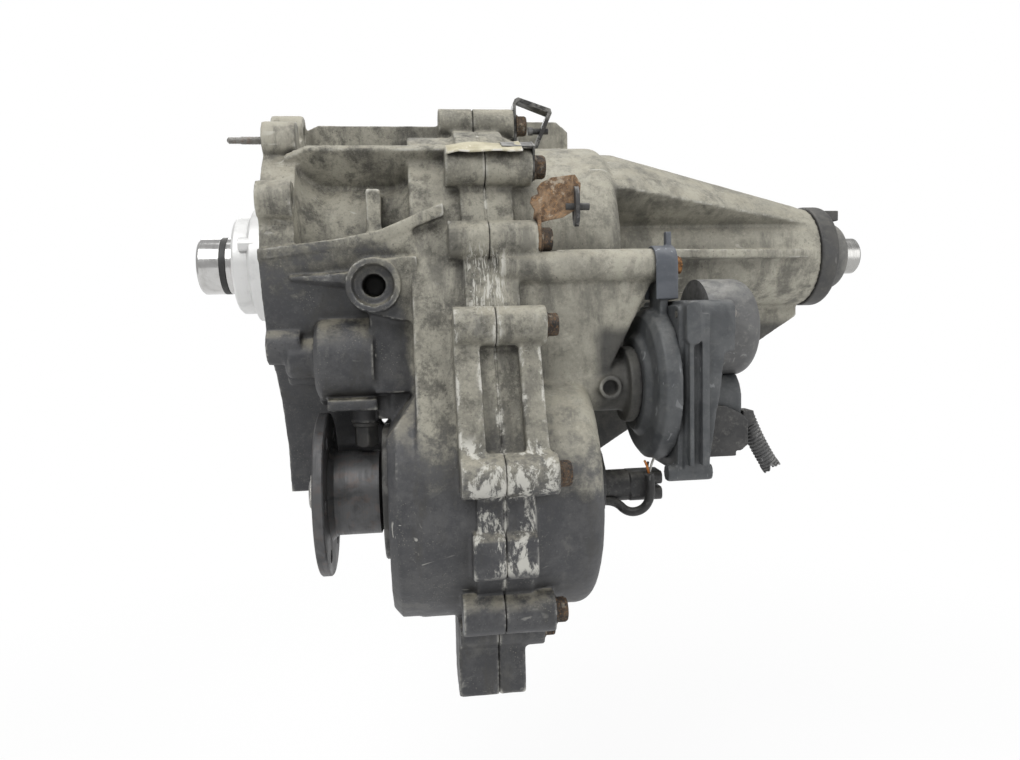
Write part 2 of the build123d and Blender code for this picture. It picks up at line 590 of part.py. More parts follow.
with BuildPart() as rear_case:
    # Rim, bolt columns and mid wall
    with BuildSketch(across(PARTING_X)):
        add(lobes(UPPER_R + RIM_LIP, LOWER_R + RIM_LIP))
    extrude(amount=RIM_T)
    with BuildSketch(across(PARTING_X)):
        with Locations(*CASE_BOLTS):
            Circle(BOSS_R)
    extrude(amount=SEAT_X - PARTING_X)
    with BuildSketch(across(PARTING_X)):
        add(lobes(DRUM_R - 2, LOW_DRUM_R - 2))
    extrude(amount=MID_WALL_X - PARTING_X)
    # Upper drum with its fairing, lower drum
    with BuildSketch(MAIN):
        with BuildLine():
            Polyline((PARTING_X, 0), (PARTING_X, UPPER_R + 2), (PARTING_X + RIM_T, UPPER_R + 2),
                     (FAIRING_X, DRUM_R), (DRUM_END_X - 12, DRUM_R))
            TangentArc((DRUM_END_X - 12, DRUM_R), (DRUM_END_X, DRUM_R - 12), tangent=(1, 0))
            Polyline((DRUM_END_X, DRUM_R - 12), (DRUM_END_X, 0), (PARTING_X, 0))
        make_face()
    revolve(axis=MAIN_AXIS)
    with BuildSketch(FRONT):
        with BuildLine():
            Polyline((PARTING_X, 0), (PARTING_X, LOWER_R + 2), (PARTING_X + RIM_T, LOWER_R + 2),
                     (FAIRING_X, LOW_DRUM_R), (LOW_REAR_X - 12, LOW_DRUM_R))
            TangentArc((LOW_REAR_X - 12, LOW_DRUM_R), (LOW_REAR_X, LOW_DRUM_R - 12), tangent=(1, 0))
            Polyline((LOW_REAR_X, LOW_DRUM_R - 12), (LOW_REAR_X, 0), (PARTING_X, 0))
        make_face()
    revolve(axis=FRONT_AXIS)
    with BuildSketch(across(LOW_REAR_X - 1, FRONT_OUT_Y, FRONT_OUT_Z)):
        Circle(REAR_HUB_R)
    extrude(amount=REAR_HUB_X - LOW_REAR_X + 1)
    # Tail tube
    with BuildSketch(MAIN):
        add(outline((DRUM_END_X - 2, 0), (DRUM_END_X - 2, TAIL_R), (TAIL_END_X - 6, TAIL_R - 1),
                    (TAIL_END_X, TAIL_END_R), (TAIL_END_X, 0)))
    revolve(axis=MAIN_AXIS)
    # Coned upper skin
    with BuildSketch(radial_plane(CONE_FIRST)):
        add(outline((DRUM_END_X - 10, TAIL_R - 8), (DRUM_END_X - 10, CONE_START_R), (DRUM_END_X + 8, CONE_START_R),
                    (TAIL_END_X - 14, TAIL_R + 2), (TAIL_END_X - 3, TAIL_END_R), (TAIL_END_X - 3, TAIL_R - 8)))
    revolve(axis=MAIN_AXIS, revolution_arc=CONE_SPAN)
    # Side ribs and the deep web under the tail
    for rib_angle in (0, 180):
        with BuildSketch(radial_plane(rib_angle)):
            add(outline((DRUM_END_X - 4, TAIL_R - 4), (DRUM_END_X - 4, 76), (TAIL_END_X - 8, TAIL_R + 1),
                        (TAIL_END_X - 8, TAIL_R - 4)))
        extrude(amount=RIB_T / 2, both=True)
    with BuildSketch(radial_plane(-90)):
        add(outline((LOW_REAR_X - 3, TAIL_R - 4), (LOW_REAR_X - 3, 176), (LOW_REAR_X + 18, 174), (404, 76),
                    (TAIL_END_X - 3, 52), (TAIL_END_X - 3, TAIL_R - 4)))
    extrude(amount=RIB_T / 2, both=True)
    # Actuator arm and its web
    with BuildSketch(across(PARTING_X + 6, ARM_Y, ARM_Z)):
        Circle(ARM_R)
    extrude(amount=ARM_END_X - PARTING_X - 6)
    with BuildSketch(Plane.XZ.offset(-ARM_Y - WEB_T / 2)):
        add(outline((MID_WALL_X - 10, ARM_Z), (ARM_END_X - 1, ARM_Z), (ARM_END_X - 1, ARM_Z - 8), (227, -117),
                    (LOW_REAR_X - 2, -165), (MID_WALL_X - 10, -165)))
    extrude(amount=WEB_T)
    # Sector shaft boss with the actuator seat
    with BuildSketch(across(MID_WALL_X - 4, SECTOR_Y, SECTOR_Z)):
        Circle(SECTOR_R + 11)
    extrude(amount=ACTUATOR_X - MID_WALL_X + 4)
    with BuildSketch(across(ACTUATOR_X - 8, SECTOR_Y, SECTOR_Z)):
        Circle(SECTOR_R + 20)
    extrude(amount=8)
    with BuildSketch(across(MID_WALL_X - 4, SHIFT_Y, SHIFT_Z)):
        Circle(RAIL_R + 6)
    extrude(amount=30)
    # Lifting lug on the far side
    with BuildSketch(Plane.XZ.offset(-LIFT_LUG_Y[1])):
        with BuildLine():
            Polyline((LIFT_LUG_X[0], 60), (LIFT_LUG_X[0], LIFT_LUG_Z - 4), (LIFT_LUG_X[0] + 4, LIFT_LUG_Z),
                     (LIFT_LUG_X[1] - 10, LIFT_LUG_Z), (LIFT_LUG_X[1], LIFT_LUG_Z - 9), (LIFT_LUG_X[1], 60), close=True)
        make_face()
    extrude(amount=LIFT_LUG_Y[1] - LIFT_LUG_Y[0])
    # Pad, lug and foot
    add(near_side_features(PARTING_X, SEAT_X))
    # Chambers
    add(rear_chamber.part, mode=Mode.SUBTRACT)
    with BuildSketch(radial_plane(CONE_FIRST + 6)):
        add(outline((DRUM_END_X - 12, TAIL_R + 7), (DRUM_END_X - 12, CONE_START_R - CONE_SKIN - 2),
                    (DRUM_END_X + 8, CONE_START_R - CONE_SKIN), (TAIL_END_X - CONE_SOLID_END, TAIL_R + 7)))
    revolve(axis=MAIN_AXIS, revolution_arc=CONE_SPAN - 12, mode=Mode.SUBTRACT)
    # Bearing hubs inside
    with BuildSketch(across(MAIN_BEARING_X)):
        Circle(MAIN_BEARING_R + 8)
    extrude(amount=DRUM_END_X - MAIN_BEARING_X)
    with BuildSketch(across(REAR_BEARING_X, FRONT_OUT_Y, FRONT_OUT_Z)):
        Circle(REAR_BEARING_R + 7)
    extrude(amount=LOW_REAR_X - REAR_BEARING_X)
    with BuildSketch(across(MID_WALL_X - 6, SECTOR_Y, SECTOR_Z)):
        Circle(SECTOR_R + 6)
    extrude(amount=LOW_REAR_X - MID_WALL_X)
    # Bores along the main line
    with BuildSketch(across(MAIN_BEARING_X)):
        Circle(MAIN_BEARING_R)
    extrude(amount=MAIN_BEARING_W, mode=Mode.SUBTRACT)
    with BuildSketch(across(MAIN_BEARING_X)):
        Circle(MAIN_BEARING_R - 6)
    extrude(amount=BUSH_X - MAIN_BEARING_X, mode=Mode.SUBTRACT)
    with BuildSketch(across(BUSH_X)):
        Circle(BUSH_R)
    extrude(amount=TAIL_END_X - BUSH_X, mode=Mode.SUBTRACT)
    # Bores for the front output, sector shaft and shift rail
    with BuildSketch(across(REAR_BEARING_X, FRONT_OUT_Y, FRONT_OUT_Z)):
        Circle(REAR_BEARING_R)
    extrude(amount=REAR_BEARING_W, mode=Mode.SUBTRACT)
    with BuildSketch(across(REAR_BEARING_X, FRONT_OUT_Y, FRONT_OUT_Z)):
        Circle(FRONT_SHAFT_R + 4)
    extrude(amount=REAR_BEARING_W + 14, mode=Mode.SUBTRACT)
    with BuildSketch(across(MID_WALL_X - 20, SECTOR_Y, SECTOR_Z)):
        Circle(SECTOR_R + RUNNING)
    extrude(amount=ACTUATOR_X - MID_WALL_X + 20, mode=Mode.SUBTRACT)
    with BuildSketch(across(MID_WALL_X - 20, SHIFT_Y, SHIFT_Z)):
        Circle(RAIL_R + RUNNING)
    extrude(amount=42, mode=Mode.SUBTRACT)
    # Bolt holes and the spot faces behind them
    with BuildSketch(across(PARTING_X)):
        with Locations(*CASE_BOLTS):
            Circle(BOLT_R + BOLT_CLEARANCE)
    extrude(amount=SEAT_X - PARTING_X, mode=Mode.SUBTRACT)
    with BuildSketch(across(SEAT_X)):
        with Locations(*CASE_BOLTS):
            Circle(BOLT_WASHER_R + 0.6)
    extrude(amount=14, mode=Mode.SUBTRACT)
    # Open boss on the near side, above the sector shaft
    with BuildSketch(Plane.XZ.offset(-VENT_Y)):
        with Locations((VENT_X, SECTOR_Z)):
            Circle(VENT_R)
    extrude(amount=-16)
    with BuildSketch(Plane.XZ.offset(-VENT_Y)):
        with Locations((VENT_X, SECTOR_Z)):
            Circle(VENT_R - 3)
    extrude(amount=-8, mode=Mode.SUBTRACT)
    with BuildSketch(across(ARM_END_X - 24, ARM_Y, ARM_Z)):
        Circle(4.0)
    extrude(amount=24, mode=Mode.SUBTRACT)
finish(rear_case, "rear_case")

# Input side
RETAINER_X = -33.0
RETAINER_STEP_X = -18.0
RETAINER_R = 39.0
RETAINER_FLANGE_R = 46.0
RETAINER_PLATE_R = 62.0
RETAINER_PLATE_T = 7.0
RETAINER_BOLT_PCR = 55.0
RETAINER_BOLTS = 5
INPUT_JOURNAL_R = 24.0
PILOT_BORE_R = 13.0
PILOT_R = 10.0
DOG_TIP_R = 22.5
DOG_COUNT = 18
GROOVE_W = 5.0
GROOVE_DEPTH = 2.2

with BuildPart() as input_shaft:
    with BuildSketch(MAIN):
        add(outline(
            (STUB_END_X, 13), (STUB_END_X, STUB_R - 2), (STUB_END_X + 2, STUB_R),
            (RING_GROOVE_X - GROOVE_W / 2, STUB_R), (RING_GROOVE_X - GROOVE_W / 2, STUB_R - GROOVE_DEPTH),
            (RING_GROOVE_X + GROOVE_W / 2, STUB_R - GROOVE_DEPTH), (RING_GROOVE_X + GROOVE_W / 2, STUB_R),
            (WALL_X - 4, STUB_R), (WALL_X - 4, INPUT_JOURNAL_R), (WALL_X + INPUT_BEARING_W, INPUT_JOURNAL_R),
            (WALL_X + INPUT_BEARING_W, 27), (GEAR_X, 27), (GEAR_X, 0), (2, 0), (2, 13),
        ))
    revolve(axis=MAIN_AXIS)
    with BuildSketch(across(GEAR_X)):
        add(external_gear(SUN_TEETH))
    extrude(amount=GEAR_W)
    with BuildSketch(across(STUB_END_X)):
        add(spline_face(18, 16.2, 14.5))
    extrude(amount=2 - STUB_END_X, mode=Mode.SUBTRACT)
    with BuildSketch(across(WALL_X)):
        Circle(PILOT_BORE_R)
    extrude(amount=GEAR_X + 6 - WALL_X, mode=Mode.SUBTRACT)
    with BuildSketch(across(GEAR_X + 6)):
        add(spline_face(DOG_COUNT, DOG_TIP_R + 2.4, DOG_TIP_R + 0.5))
    extrude(amount=GEAR_W - 6, mode=Mode.SUBTRACT)
finish(input_shaft, "input_shaft")

with BuildPart() as input_o_ring:
    with BuildSketch(MAIN):
        with Locations((RING_GROOVE_X, STUB_R - GROOVE_DEPTH / 2 + 0.1)):
            RectangleRounded(GROOVE_W - 0.4, GROOVE_DEPTH + 0.2, 0.5)
    revolve(axis=MAIN_AXIS)
finish(input_o_ring, "input_o_ring")

with BuildPart() as input_bearing_retainer:
    with BuildSketch(MAIN):
        add(outline(
            (RETAINER_X, 31), (RETAINER_X, RETAINER_R - 2), (RETAINER_X + 2, RETAINER_R),
            (RETAINER_STEP_X - 3, RETAINER_R), (RETAINER_STEP_X, RETAINER_FLANGE_R - 1), (-8, RETAINER_FLANGE_R),
            (WALL_X - RETAINER_PLATE_T - 3, RETAINER_FLANGE_R), (WALL_X - RETAINER_PLATE_T, RETAINER_FLANGE_R + 1.5),
            (WALL_X - RETAINER_PLATE_T, RETAINER_PLATE_R), (WALL_X, RETAINER_PLATE_R), (WALL_X, 34),
            (RETAINER_X + 16, 34), (RETAINER_X + 16, STUB_R + 0.6), (RETAINER_X + 12, STUB_R + 0.6),
            (RETAINER_X + 12, 31),
        ))
    revolve(axis=MAIN_AXIS)
    # Oil feed boss on the snout
    with BuildSketch(across(-26)):
        with Locations(polar(RETAINER_R + 1, radians(160))):
            Circle(5.5)
    extrude(amount=14)
    with BuildSketch(across(WALL_X - RETAINER_PLATE_T)):
        with PolarLocations(RETAINER_BOLT_PCR, RETAINER_BOLTS, start_angle=90):
            Circle(3.3)
    extrude(amount=RETAINER_PLATE_T, mode=Mode.SUBTRACT)
finish(input_bearing_retainer, "input_bearing_retainer")

with BuildPart() as retainer_bolts:
    with BuildSketch(across(WALL_X - RETAINER_PLATE_T)):
        with PolarLocations(RETAINER_BOLT_PCR, RETAINER_BOLTS, start_angle=90):
            Circle(3.0)
    extrude(amount=RETAINER_PLATE_T)
    with BuildSketch(across(WALL_X - RETAINER_PLATE_T - 5)):
        with PolarLocations(RETAINER_BOLT_PCR, RETAINER_BOLTS, start_angle=90):
            RegularPolygon(5.0, 6, major_radius=False)
    extrude(amount=5)
finish(retainer_bolts, "retainer_bolts")

with BuildPart() as input_seal:
    with BuildSketch(MAIN):
        add(outline((RETAINER_X + 1, 31), (RETAINER_X + 12, 31), (RETAINER_X + 12, 27), (RETAINER_X + 5, 27),
                    (RETAINER_X + 6, STUB_R + 0.05), (RETAINER_X + 3, STUB_R + 0.05), (RETAINER_X + 1, 26)))
    revolve(axis=MAIN_AXIS)
finish(input_seal, "input_seal")

with BuildPart() as input_bearing:
    add(bearing(WALL_X, WALL_T, INPUT_JOURNAL_R + RUNNING, INPUT_BEARING_R - RUNNING))
finish(input_bearing, "input_bearing")

# Flange stud: a round-nosed threaded stud beside the top bolt hole
STUD_R = 3.0
STUD_TIP_X = -26.0
with BuildPart() as adapter_stud:
    with BuildSketch(Plane(origin=(0, *STUD_PLACE), x_dir=(1, 0, 0), z_dir=(0, 0, 1))):
        add(outline((14, 0), (14, STUD_R - 0.1), (-20, STUD_R - 0.1), (STUD_TIP_X + 1, 1.4), (STUD_TIP_X, 0)))
    revolve(axis=Axis((0, *STUD_PLACE), (1, 0, 0)))
finish(adapter_stud, "adapter_stud")

# Planetary set
CARRIER_R = 57.0
CARRIER_FRONT_X = GEAR_X - 7.5
CARRIER_PLATE_T = 5.5
CARRIER_REAR_X = GEAR_X + GEAR_W + 1.5
CARRIER_REAR_T = 13.0

with BuildPart() as ring_gear:
    with BuildSketch(across(GEAR_X - 1)):
        Circle(PLANET_BORE_R - RUNNING)
        add(internal_gear_gap(RING_TEETH).rotate(Axis.Z, 180 / RING_TEETH if PLANET_TEETH % 2 == 0 else 0),
            mode=Mode.SUBTRACT)
    extrude(amount=GEAR_W + 2)
finish(ring_gear, "ring_gear")

with BuildPart() as planet_carrier:
    with BuildSketch(across(CARRIER_FRONT_X)):
        Circle(CARRIER_R)
        Circle(29.0, mode=Mode.SUBTRACT)
    extrude(amount=CARRIER_PLATE_T)
    with BuildSketch(across(CARRIER_REAR_X)):
        Circle(CARRIER_R)
    extrude(amount=CARRIER_REAR_T)
    # Posts between the planets hold the two plates apart
    for post in range(PLANET_COUNT):
        angle = 360 / PLANET_COUNT * (post + 0.5)
        with BuildSketch(across(CARRIER_FRONT_X)):
            with Locations(Location((0, 0, 0), (0, 0, angle))):
                with Locations((ORBIT_R, 0)):
                    RectangleRounded(20, 17, 4)
        extrude(amount=CARRIER_REAR_X - CARRIER_FRONT_X)
    with BuildSketch(across(CARRIER_REAR_X)):
        add(spline_face(DOG_COUNT, DOG_TIP_R + 2.4, DOG_TIP_R + 0.5))
    extrude(amount=CARRIER_REAR_T, mode=Mode.SUBTRACT)
    with BuildSketch(across(CARRIER_FRONT_X)):
        with PolarLocations(ORBIT_R, PLANET_COUNT):
            Circle(PLANET_PIN_R)
    extrude(amount=CARRIER_REAR_X + 8 - CARRIER_FRONT_X, mode=Mode.SUBTRACT)
finish(planet_carrier, "planet_carrier")

with BuildPart() as planet_pins:
    with BuildSketch(across(CARRIER_FRONT_X)):
        with PolarLocations(ORBIT_R, PLANET_COUNT):
            Circle(PLANET_PIN_R - 0.02)
    extrude(amount=CARRIER_REAR_X + 8 - CARRIER_FRONT_X)
finish(planet_pins, "planet_pins")

for number in range(PLANET_COUNT):
    angle = 2 * pi * number / PLANET_COUNT
    with BuildPart() as planet_gear:
        with BuildSketch(across(GEAR_X, *polar(ORBIT_R, angle))):
            add(external_gear(PLANET_TEETH).rotate(Axis.Z, degrees(angle) + 180 + 180 / PLANET_TEETH))
            Circle(PLANET_PIN_R + RUNNING, mode=Mode.SUBTRACT)
        extrude(amount=GEAR_W)
    finish(planet_gear, f"planet_gear_{number + 1}")

# Range sleeve and shift parts
SLEEVE_X = 46.0
SLEEVE_FORK_X = 80.0
FORK_GROOVE_W = 7.0
SLEEVE_FLANGE_T = 3.0
SLEEVE_FLANGE_R = 38.0
SLEEVE_FLOOR_R = 28.0
FORK_T = FORK_GROOVE_W - 0.6
RAIL_FRONT_X = 16.0
RAIL_END_X = 188.0
FOLLOWER_X = 152.0
FOLLOWER_T = 6.0
CAM_X = 149.0
CAM_W = 32.0

with BuildPart() as range_sleeve:
    with BuildSketch(across(SLEEVE_X)):
        add(spline_face(DOG_COUNT, DOG_TIP_R, DOG_TIP_R - 2))
    extrude(amount=10)
    groove_end = SLEEVE_FORK_X + SLEEVE_FLANGE_T + FORK_GROOVE_W
    with BuildSketch(MAIN):
        add(outline((SLEEVE_X + 9, 0), (SLEEVE_X + 9, 20.2), (SLEEVE_FORK_X, 20.2), (SLEEVE_FORK_X, SLEEVE_FLANGE_R),
                    (SLEEVE_FORK_X + SLEEVE_FLANGE_T, SLEEVE_FLANGE_R),
                    (SLEEVE_FORK_X + SLEEVE_FLANGE_T, SLEEVE_FLOOR_R), (groove_end, SLEEVE_FLOOR_R),
                    (groove_end, SLEEVE_FLANGE_R), (groove_end + SLEEVE_FLANGE_T, SLEEVE_FLANGE_R),
                    (groove_end + SLEEVE_FLANGE_T, 0)))
    revolve(axis=MAIN_AXIS)
    with BuildSketch(across(SLEEVE_X)):
        Circle(MAIN_R + RUNNING)
    extrude(amount=60, mode=Mode.SUBTRACT)
finish(range_sleeve, "range_sleeve")

with BuildPart() as shift_fork:
    fork_x = SLEEVE_FORK_X + SLEEVE_FLANGE_T + (FORK_GROOVE_W - FORK_T) / 2
    fork_plane = Plane(origin=(fork_x, 0, 0), x_dir=(0, cos(shift_angle), sin(shift_angle)), z_dir=(1, 0, 0))
    with BuildSketch(fork_plane):
        Circle(SLEEVE_FLANGE_R + 8)
        Circle(SLEEVE_FLOOR_R + 0.4, mode=Mode.SUBTRACT)
        with Locations((-40, 0)):
            Rectangle(80 - 8, 120, mode=Mode.SUBTRACT)
        with Locations(((SLEEVE_FLANGE_R + shift_reach - 8) / 2 + 2, 0)):
            Rectangle(shift_reach - SLEEVE_FLANGE_R - 4, 17)
    extrude(amount=FORK_T)
    with BuildSketch(fork_plane):
        with Locations((shift_reach, 0)):
            Circle(RAIL_R + 5)
    extrude(amount=18)
    with BuildSketch(across(fork_x, SHIFT_Y, SHIFT_Z)):
        Circle(RAIL_R + 0.02)
    extrude(amount=18, mode=Mode.SUBTRACT)
finish(shift_fork, "shift_fork")

with BuildPart() as shift_rail:
    with BuildSketch(across(RAIL_FRONT_X, SHIFT_Y, SHIFT_Z)):
        Circle(RAIL_R)
    extrude(amount=RAIL_END_X - RAIL_FRONT_X)
    chamfer(shift_rail.edges(), 0.8)
finish(shift_rail, "shift_rail")

follower_turn = atan2(SECTOR_Z - SHIFT_Z, SECTOR_Y - SHIFT_Y)
follower_reach = sqrt((SECTOR_Z - SHIFT_Z)**2 + (SECTOR_Y - SHIFT_Y)**2)
follower_plane = Plane(
    origin=(FOLLOWER_X, SHIFT_Y, SHIFT_Z), x_dir=(0, cos(follower_turn), sin(follower_turn)), z_dir=(1, 0, 0)
)
with BuildPart() as cam_follower:
    with BuildSketch(follower_plane):
        Circle(RAIL_R + 5)
        with Locations(((follower_reach - CAM_R - 1) / 2, 0)):
            Rectangle(follower_reach - CAM_R - 1, 12)
        Circle(RAIL_R + 0.02, mode=Mode.SUBTRACT)
    extrude(amount=FOLLOWER_T)
    with BuildSketch(Plane(origin=follower_plane.from_local_coords((follower_reach - CAM_R - 3, 0, FOLLOWER_T / 2)),
                           z_dir=follower_plane.x_dir)):
        Circle(2.8)
    extrude(amount=3 + 4.2)
finish(cam_follower, "cam_follower")

with BuildPart() as shift_sector:
    with BuildSketch(across(CAM_X, SECTOR_Y, SECTOR_Z)):
        Circle(CAM_R)
    extrude(amount=CAM_W)
    with BuildSketch(across(CAM_X, SECTOR_Y, SECTOR_Z)):
        Circle(SECTOR_R)
    extrude(amount=ACTUATOR_X + 12 - CAM_X)
    # The helical track that drives the follower's pin
    steps = 17
    for step in range(-1, steps + 1):
        share = step / (steps - 1)
        turn = follower_turn + pi - radians(CAM_TURN) * share
        place = (FOLLOWER_X + FOLLOWER_T / 2 + RANGE_TRAVEL * share, SECTOR_Y, SECTOR_Z)
        with BuildSketch(Plane(origin=place, z_dir=(0, cos(turn), sin(turn))).offset(CAM_R - 5)):
            Circle(3.6)
        extrude(amount=8, mode=Mode.SUBTRACT)
finish(shift_sector, "shift_sector")

# Main shaft line
HUB_R = 24.0
CLUTCH_X = 150.5
CLUTCH_W = 74.0
CLUTCH_R = 72.0
CLUTCH_WALL = 4.0
CLUTCH_HUB_R = 48.0
CLUTCH_BORE_W = 50.0
PLATE_COUNT = 7
PLATE_T = 3.2
PLATE_PITCH = 7.6
PLATE_FIRST_X = 164.0
PUMP_X = 231.0
PUMP_W = 13.0
PUMP_R = 44.0
PUMP_ROTOR_R = 31.0

with BuildPart() as main_shaft:
    with BuildSketch(MAIN):
        add(outline(
            (WALL_X + 4, 0), (WALL_X + 4, PILOT_R - 1), (WALL_X + 5, PILOT_R), (GEAR_X + 6.2, PILOT_R),
            (GEAR_X + 7.5, MAIN_R - 1), (GEAR_X + 9, MAIN_R), (CHAIN_X - 4, MAIN_R), (CHAIN_X - 4, HUB_R), (CLUTCH_X + 4, HUB_R),
            (CLUTCH_X + 4, JOURNAL_R), (MAIN_BEARING_X + MAIN_BEARING_W, JOURNAL_R),
            (MAIN_BEARING_X + MAIN_BEARING_W + 3, TAIL_SHAFT_R), (TAIL_END_X - 2, TAIL_SHAFT_R),
            (TAIL_END_X + 1, TAIL_JOURNAL_R), (TAIL_SEAL_END_X + 1, TAIL_JOURNAL_R),
            (TAIL_SEAL_END_X + 1, STUB_SHAFT_R), (MAIN_END_X - 1.5, STUB_SHAFT_R), (MAIN_END_X, STUB_SHAFT_R - 1.5),
            (MAIN_END_X, 0),
        ))
    revolve(axis=MAIN_AXIS)
    # Centre drilling in the rear end
    with BuildSketch(across(MAIN_END_X - 12)):
        Circle(5.0)
    extrude(amount=12, mode=Mode.SUBTRACT)
finish(main_shaft, "main_shaft")

with BuildPart() as pilot_bearing:
    add(bearing(WALL_X + 6, 20, PILOT_R + RUNNING, PILOT_BORE_R - RUNNING))
finish(pilot_bearing, "pilot_bearing")


def sprocket(y, z):
    """A chain wheel with a hub, on the shaft line (y, z)."""
    with BuildPart() as wheel:
        with BuildSketch(across(CHAIN_X + 1, y, z)):
            add(sprocket_face())
            Circle(HUB_R + RUNNING, mode=Mode.SUBTRACT)
        extrude(amount=CHAIN_W - 2)
        for face_x, depth in ((CHAIN_X + 1, 7), (CHAIN_X + CHAIN_W - 1, -7)):
            with BuildSketch(across(face_x, y, z)):
                Circle(SPROCKET_R - 10)
                Circle(HUB_R + 7, mode=Mode.SUBTRACT)
            extrude(amount=depth, mode=Mode.SUBTRACT)
    return wheel.part


with BuildPart() as drive_sprocket:
    add(sprocket(0, 0))
finish(drive_sprocket, "drive_sprocket")

with BuildPart() as driven_sprocket:
    add(sprocket(FRONT_OUT_Y, FRONT_OUT_Z))
finish(driven_sprocket, "driven_sprocket")

# Toothed chain round both wheels, one closed loop of links
with BuildPart() as drive_chain:
    inner = []
    for link in range(2 * (SPROCKET_TEETH // 2 + CENTRE_PITCHES)):
        for shift, depth in ((-0.13, -2.1), (0.13, -2.1), (0.24, -0.4), (0.38, 3.6), (0.62, 3.6), (0.76, -0.4)):
            inner.append(chain_point(link + shift, depth))
    with BuildSketch(across(CHAIN_X)):
        add(lobes(SPROCKET_R + 6.2, SPROCKET_R + 6.2))
        add(outline(*inner), mode=Mode.SUBTRACT)
    extrude(amount=CHAIN_W)
finish(drive_chain, "drive_chain")

# Clutch on the main shaft: drum, hub, plates, pressure plate
with BuildPart() as clutch_drum:
    with BuildSketch(MAIN):
        add(outline(
            (CLUTCH_X, HUB_R + RUNNING), (CLUTCH_X, CLUTCH_R - 6), (CLUTCH_X + 4, CLUTCH_R),
            (CLUTCH_X + CLUTCH_W, CLUTCH_R), (CLUTCH_X + CLUTCH_W, CLUTCH_R - CLUTCH_WALL),
            (CLUTCH_X + CLUTCH_WALL, CLUTCH_R - CLUTCH_WALL), (CLUTCH_X + CLUTCH_WALL, HUB_R + RUNNING),
        ))
    revolve(axis=MAIN_AXIS)
    # Windows along the drum let oil out
    with BuildSketch(Plane.XY.offset(-CLUTCH_R - 2)):
        with Locations((CLUTCH_X + CLUTCH_W / 2, 0)):
            SlotOverall(44, 8)
    window = extrude(amount=2 * CLUTCH_R + 4, mode=Mode.PRIVATE)
    for turn in (0, 60, 120):
        add(window.rotate(MAIN_AXIS, turn), mode=Mode.SUBTRACT)
finish(clutch_drum, "clutch_drum")

with BuildPart() as clutch_hub:
    with BuildSketch(MAIN):
        add(outline((CLUTCH_X + 6, JOURNAL_R + RUNNING), (CLUTCH_X + 6, 32), (CLUTCH_X + 10, 32),
                    (CLUTCH_X + 12, CLUTCH_HUB_R), (CLUTCH_X + 66, CLUTCH_HUB_R), (CLUTCH_X + 66, CLUTCH_HUB_R - 5),
                    (CLUTCH_X + 17, CLUTCH_HUB_R - 5), (CLUTCH_X + 17, 32), (CLUTCH_X + CLUTCH_BORE_W, 32),
                    (CLUTCH_X + CLUTCH_BORE_W, JOURNAL_R + RUNNING)))
    revolve(axis=MAIN_AXIS)
finish(clutch_hub, "clutch_hub")

with BuildPart() as clutch_plates:
    for plate in range(PLATE_COUNT):
        with BuildSketch(across(PLATE_FIRST_X + PLATE_PITCH * plate)):
            Circle(CLUTCH_R - CLUTCH_WALL - 0.3)
            Circle(CLUTCH_HUB_R + 2, mode=Mode.SUBTRACT)
        extrude(amount=PLATE_T)
finish(clutch_plates, "clutch_plates")

with BuildPart() as friction_plates:
    for plate in range(PLATE_COUNT - 1):
        with BuildSketch(across(PLATE_FIRST_X + PLATE_PITCH * plate + PLATE_T + 0.4)):
            Circle(CLUTCH_R - CLUTCH_WALL - 3)
            Circle(CLUTCH_HUB_R + 0.3, mode=Mode.SUBTRACT)
        extrude(amount=PLATE_PITCH - PLATE_T - 0.8)
finish(friction_plates, "friction_plates")

with BuildPart() as main_bearing:
    add(bearing(MAIN_BEARING_X, MAIN_BEARING_W, JOURNAL_R + RUNNING, MAIN_BEARING_R - RUNNING))
finish(main_bearing, "main_bearing")

with BuildPart() as oil_pump_housing:
    with BuildSketch(across(PUMP_X)):
        Circle(PUMP_R)
        Circle(JOURNAL_R + 1, mode=Mode.SUBTRACT)
    extrude(amount=MAIN_BEARING_X - PUMP_X)
    with BuildSketch(across(PUMP_X + 2)):
        with Locations((0, 0)):
            Circle(PUMP_ROTOR_R + RUNNING)
    extrude(amount=PUMP_W - 3, mode=Mode.SUBTRACT)
finish(oil_pump_housing, "oil_pump_housing")

with BuildPart() as oil_pump_rotor:
    with BuildSketch(across(PUMP_X + 2 + RUNNING)):
        add(spline_face(8, PUMP_ROTOR_R, PUMP_ROTOR_R - 4))
        Circle(JOURNAL_R + RUNNING, mode=Mode.SUBTRACT)
    extrude(amount=PUMP_W - 3 - 2 * RUNNING)
finish(oil_pump_rotor, "oil_pump_rotor")

with BuildPart() as tail_bushing:
    with BuildSketch(across(BUSH_X)):
        Circle(BUSH_R)
        Circle(TAIL_SHAFT_R + RUNNING, mode=Mode.SUBTRACT)
    extrude(amount=BUSH_W)
finish(tail_bushing, "tail_bushing")

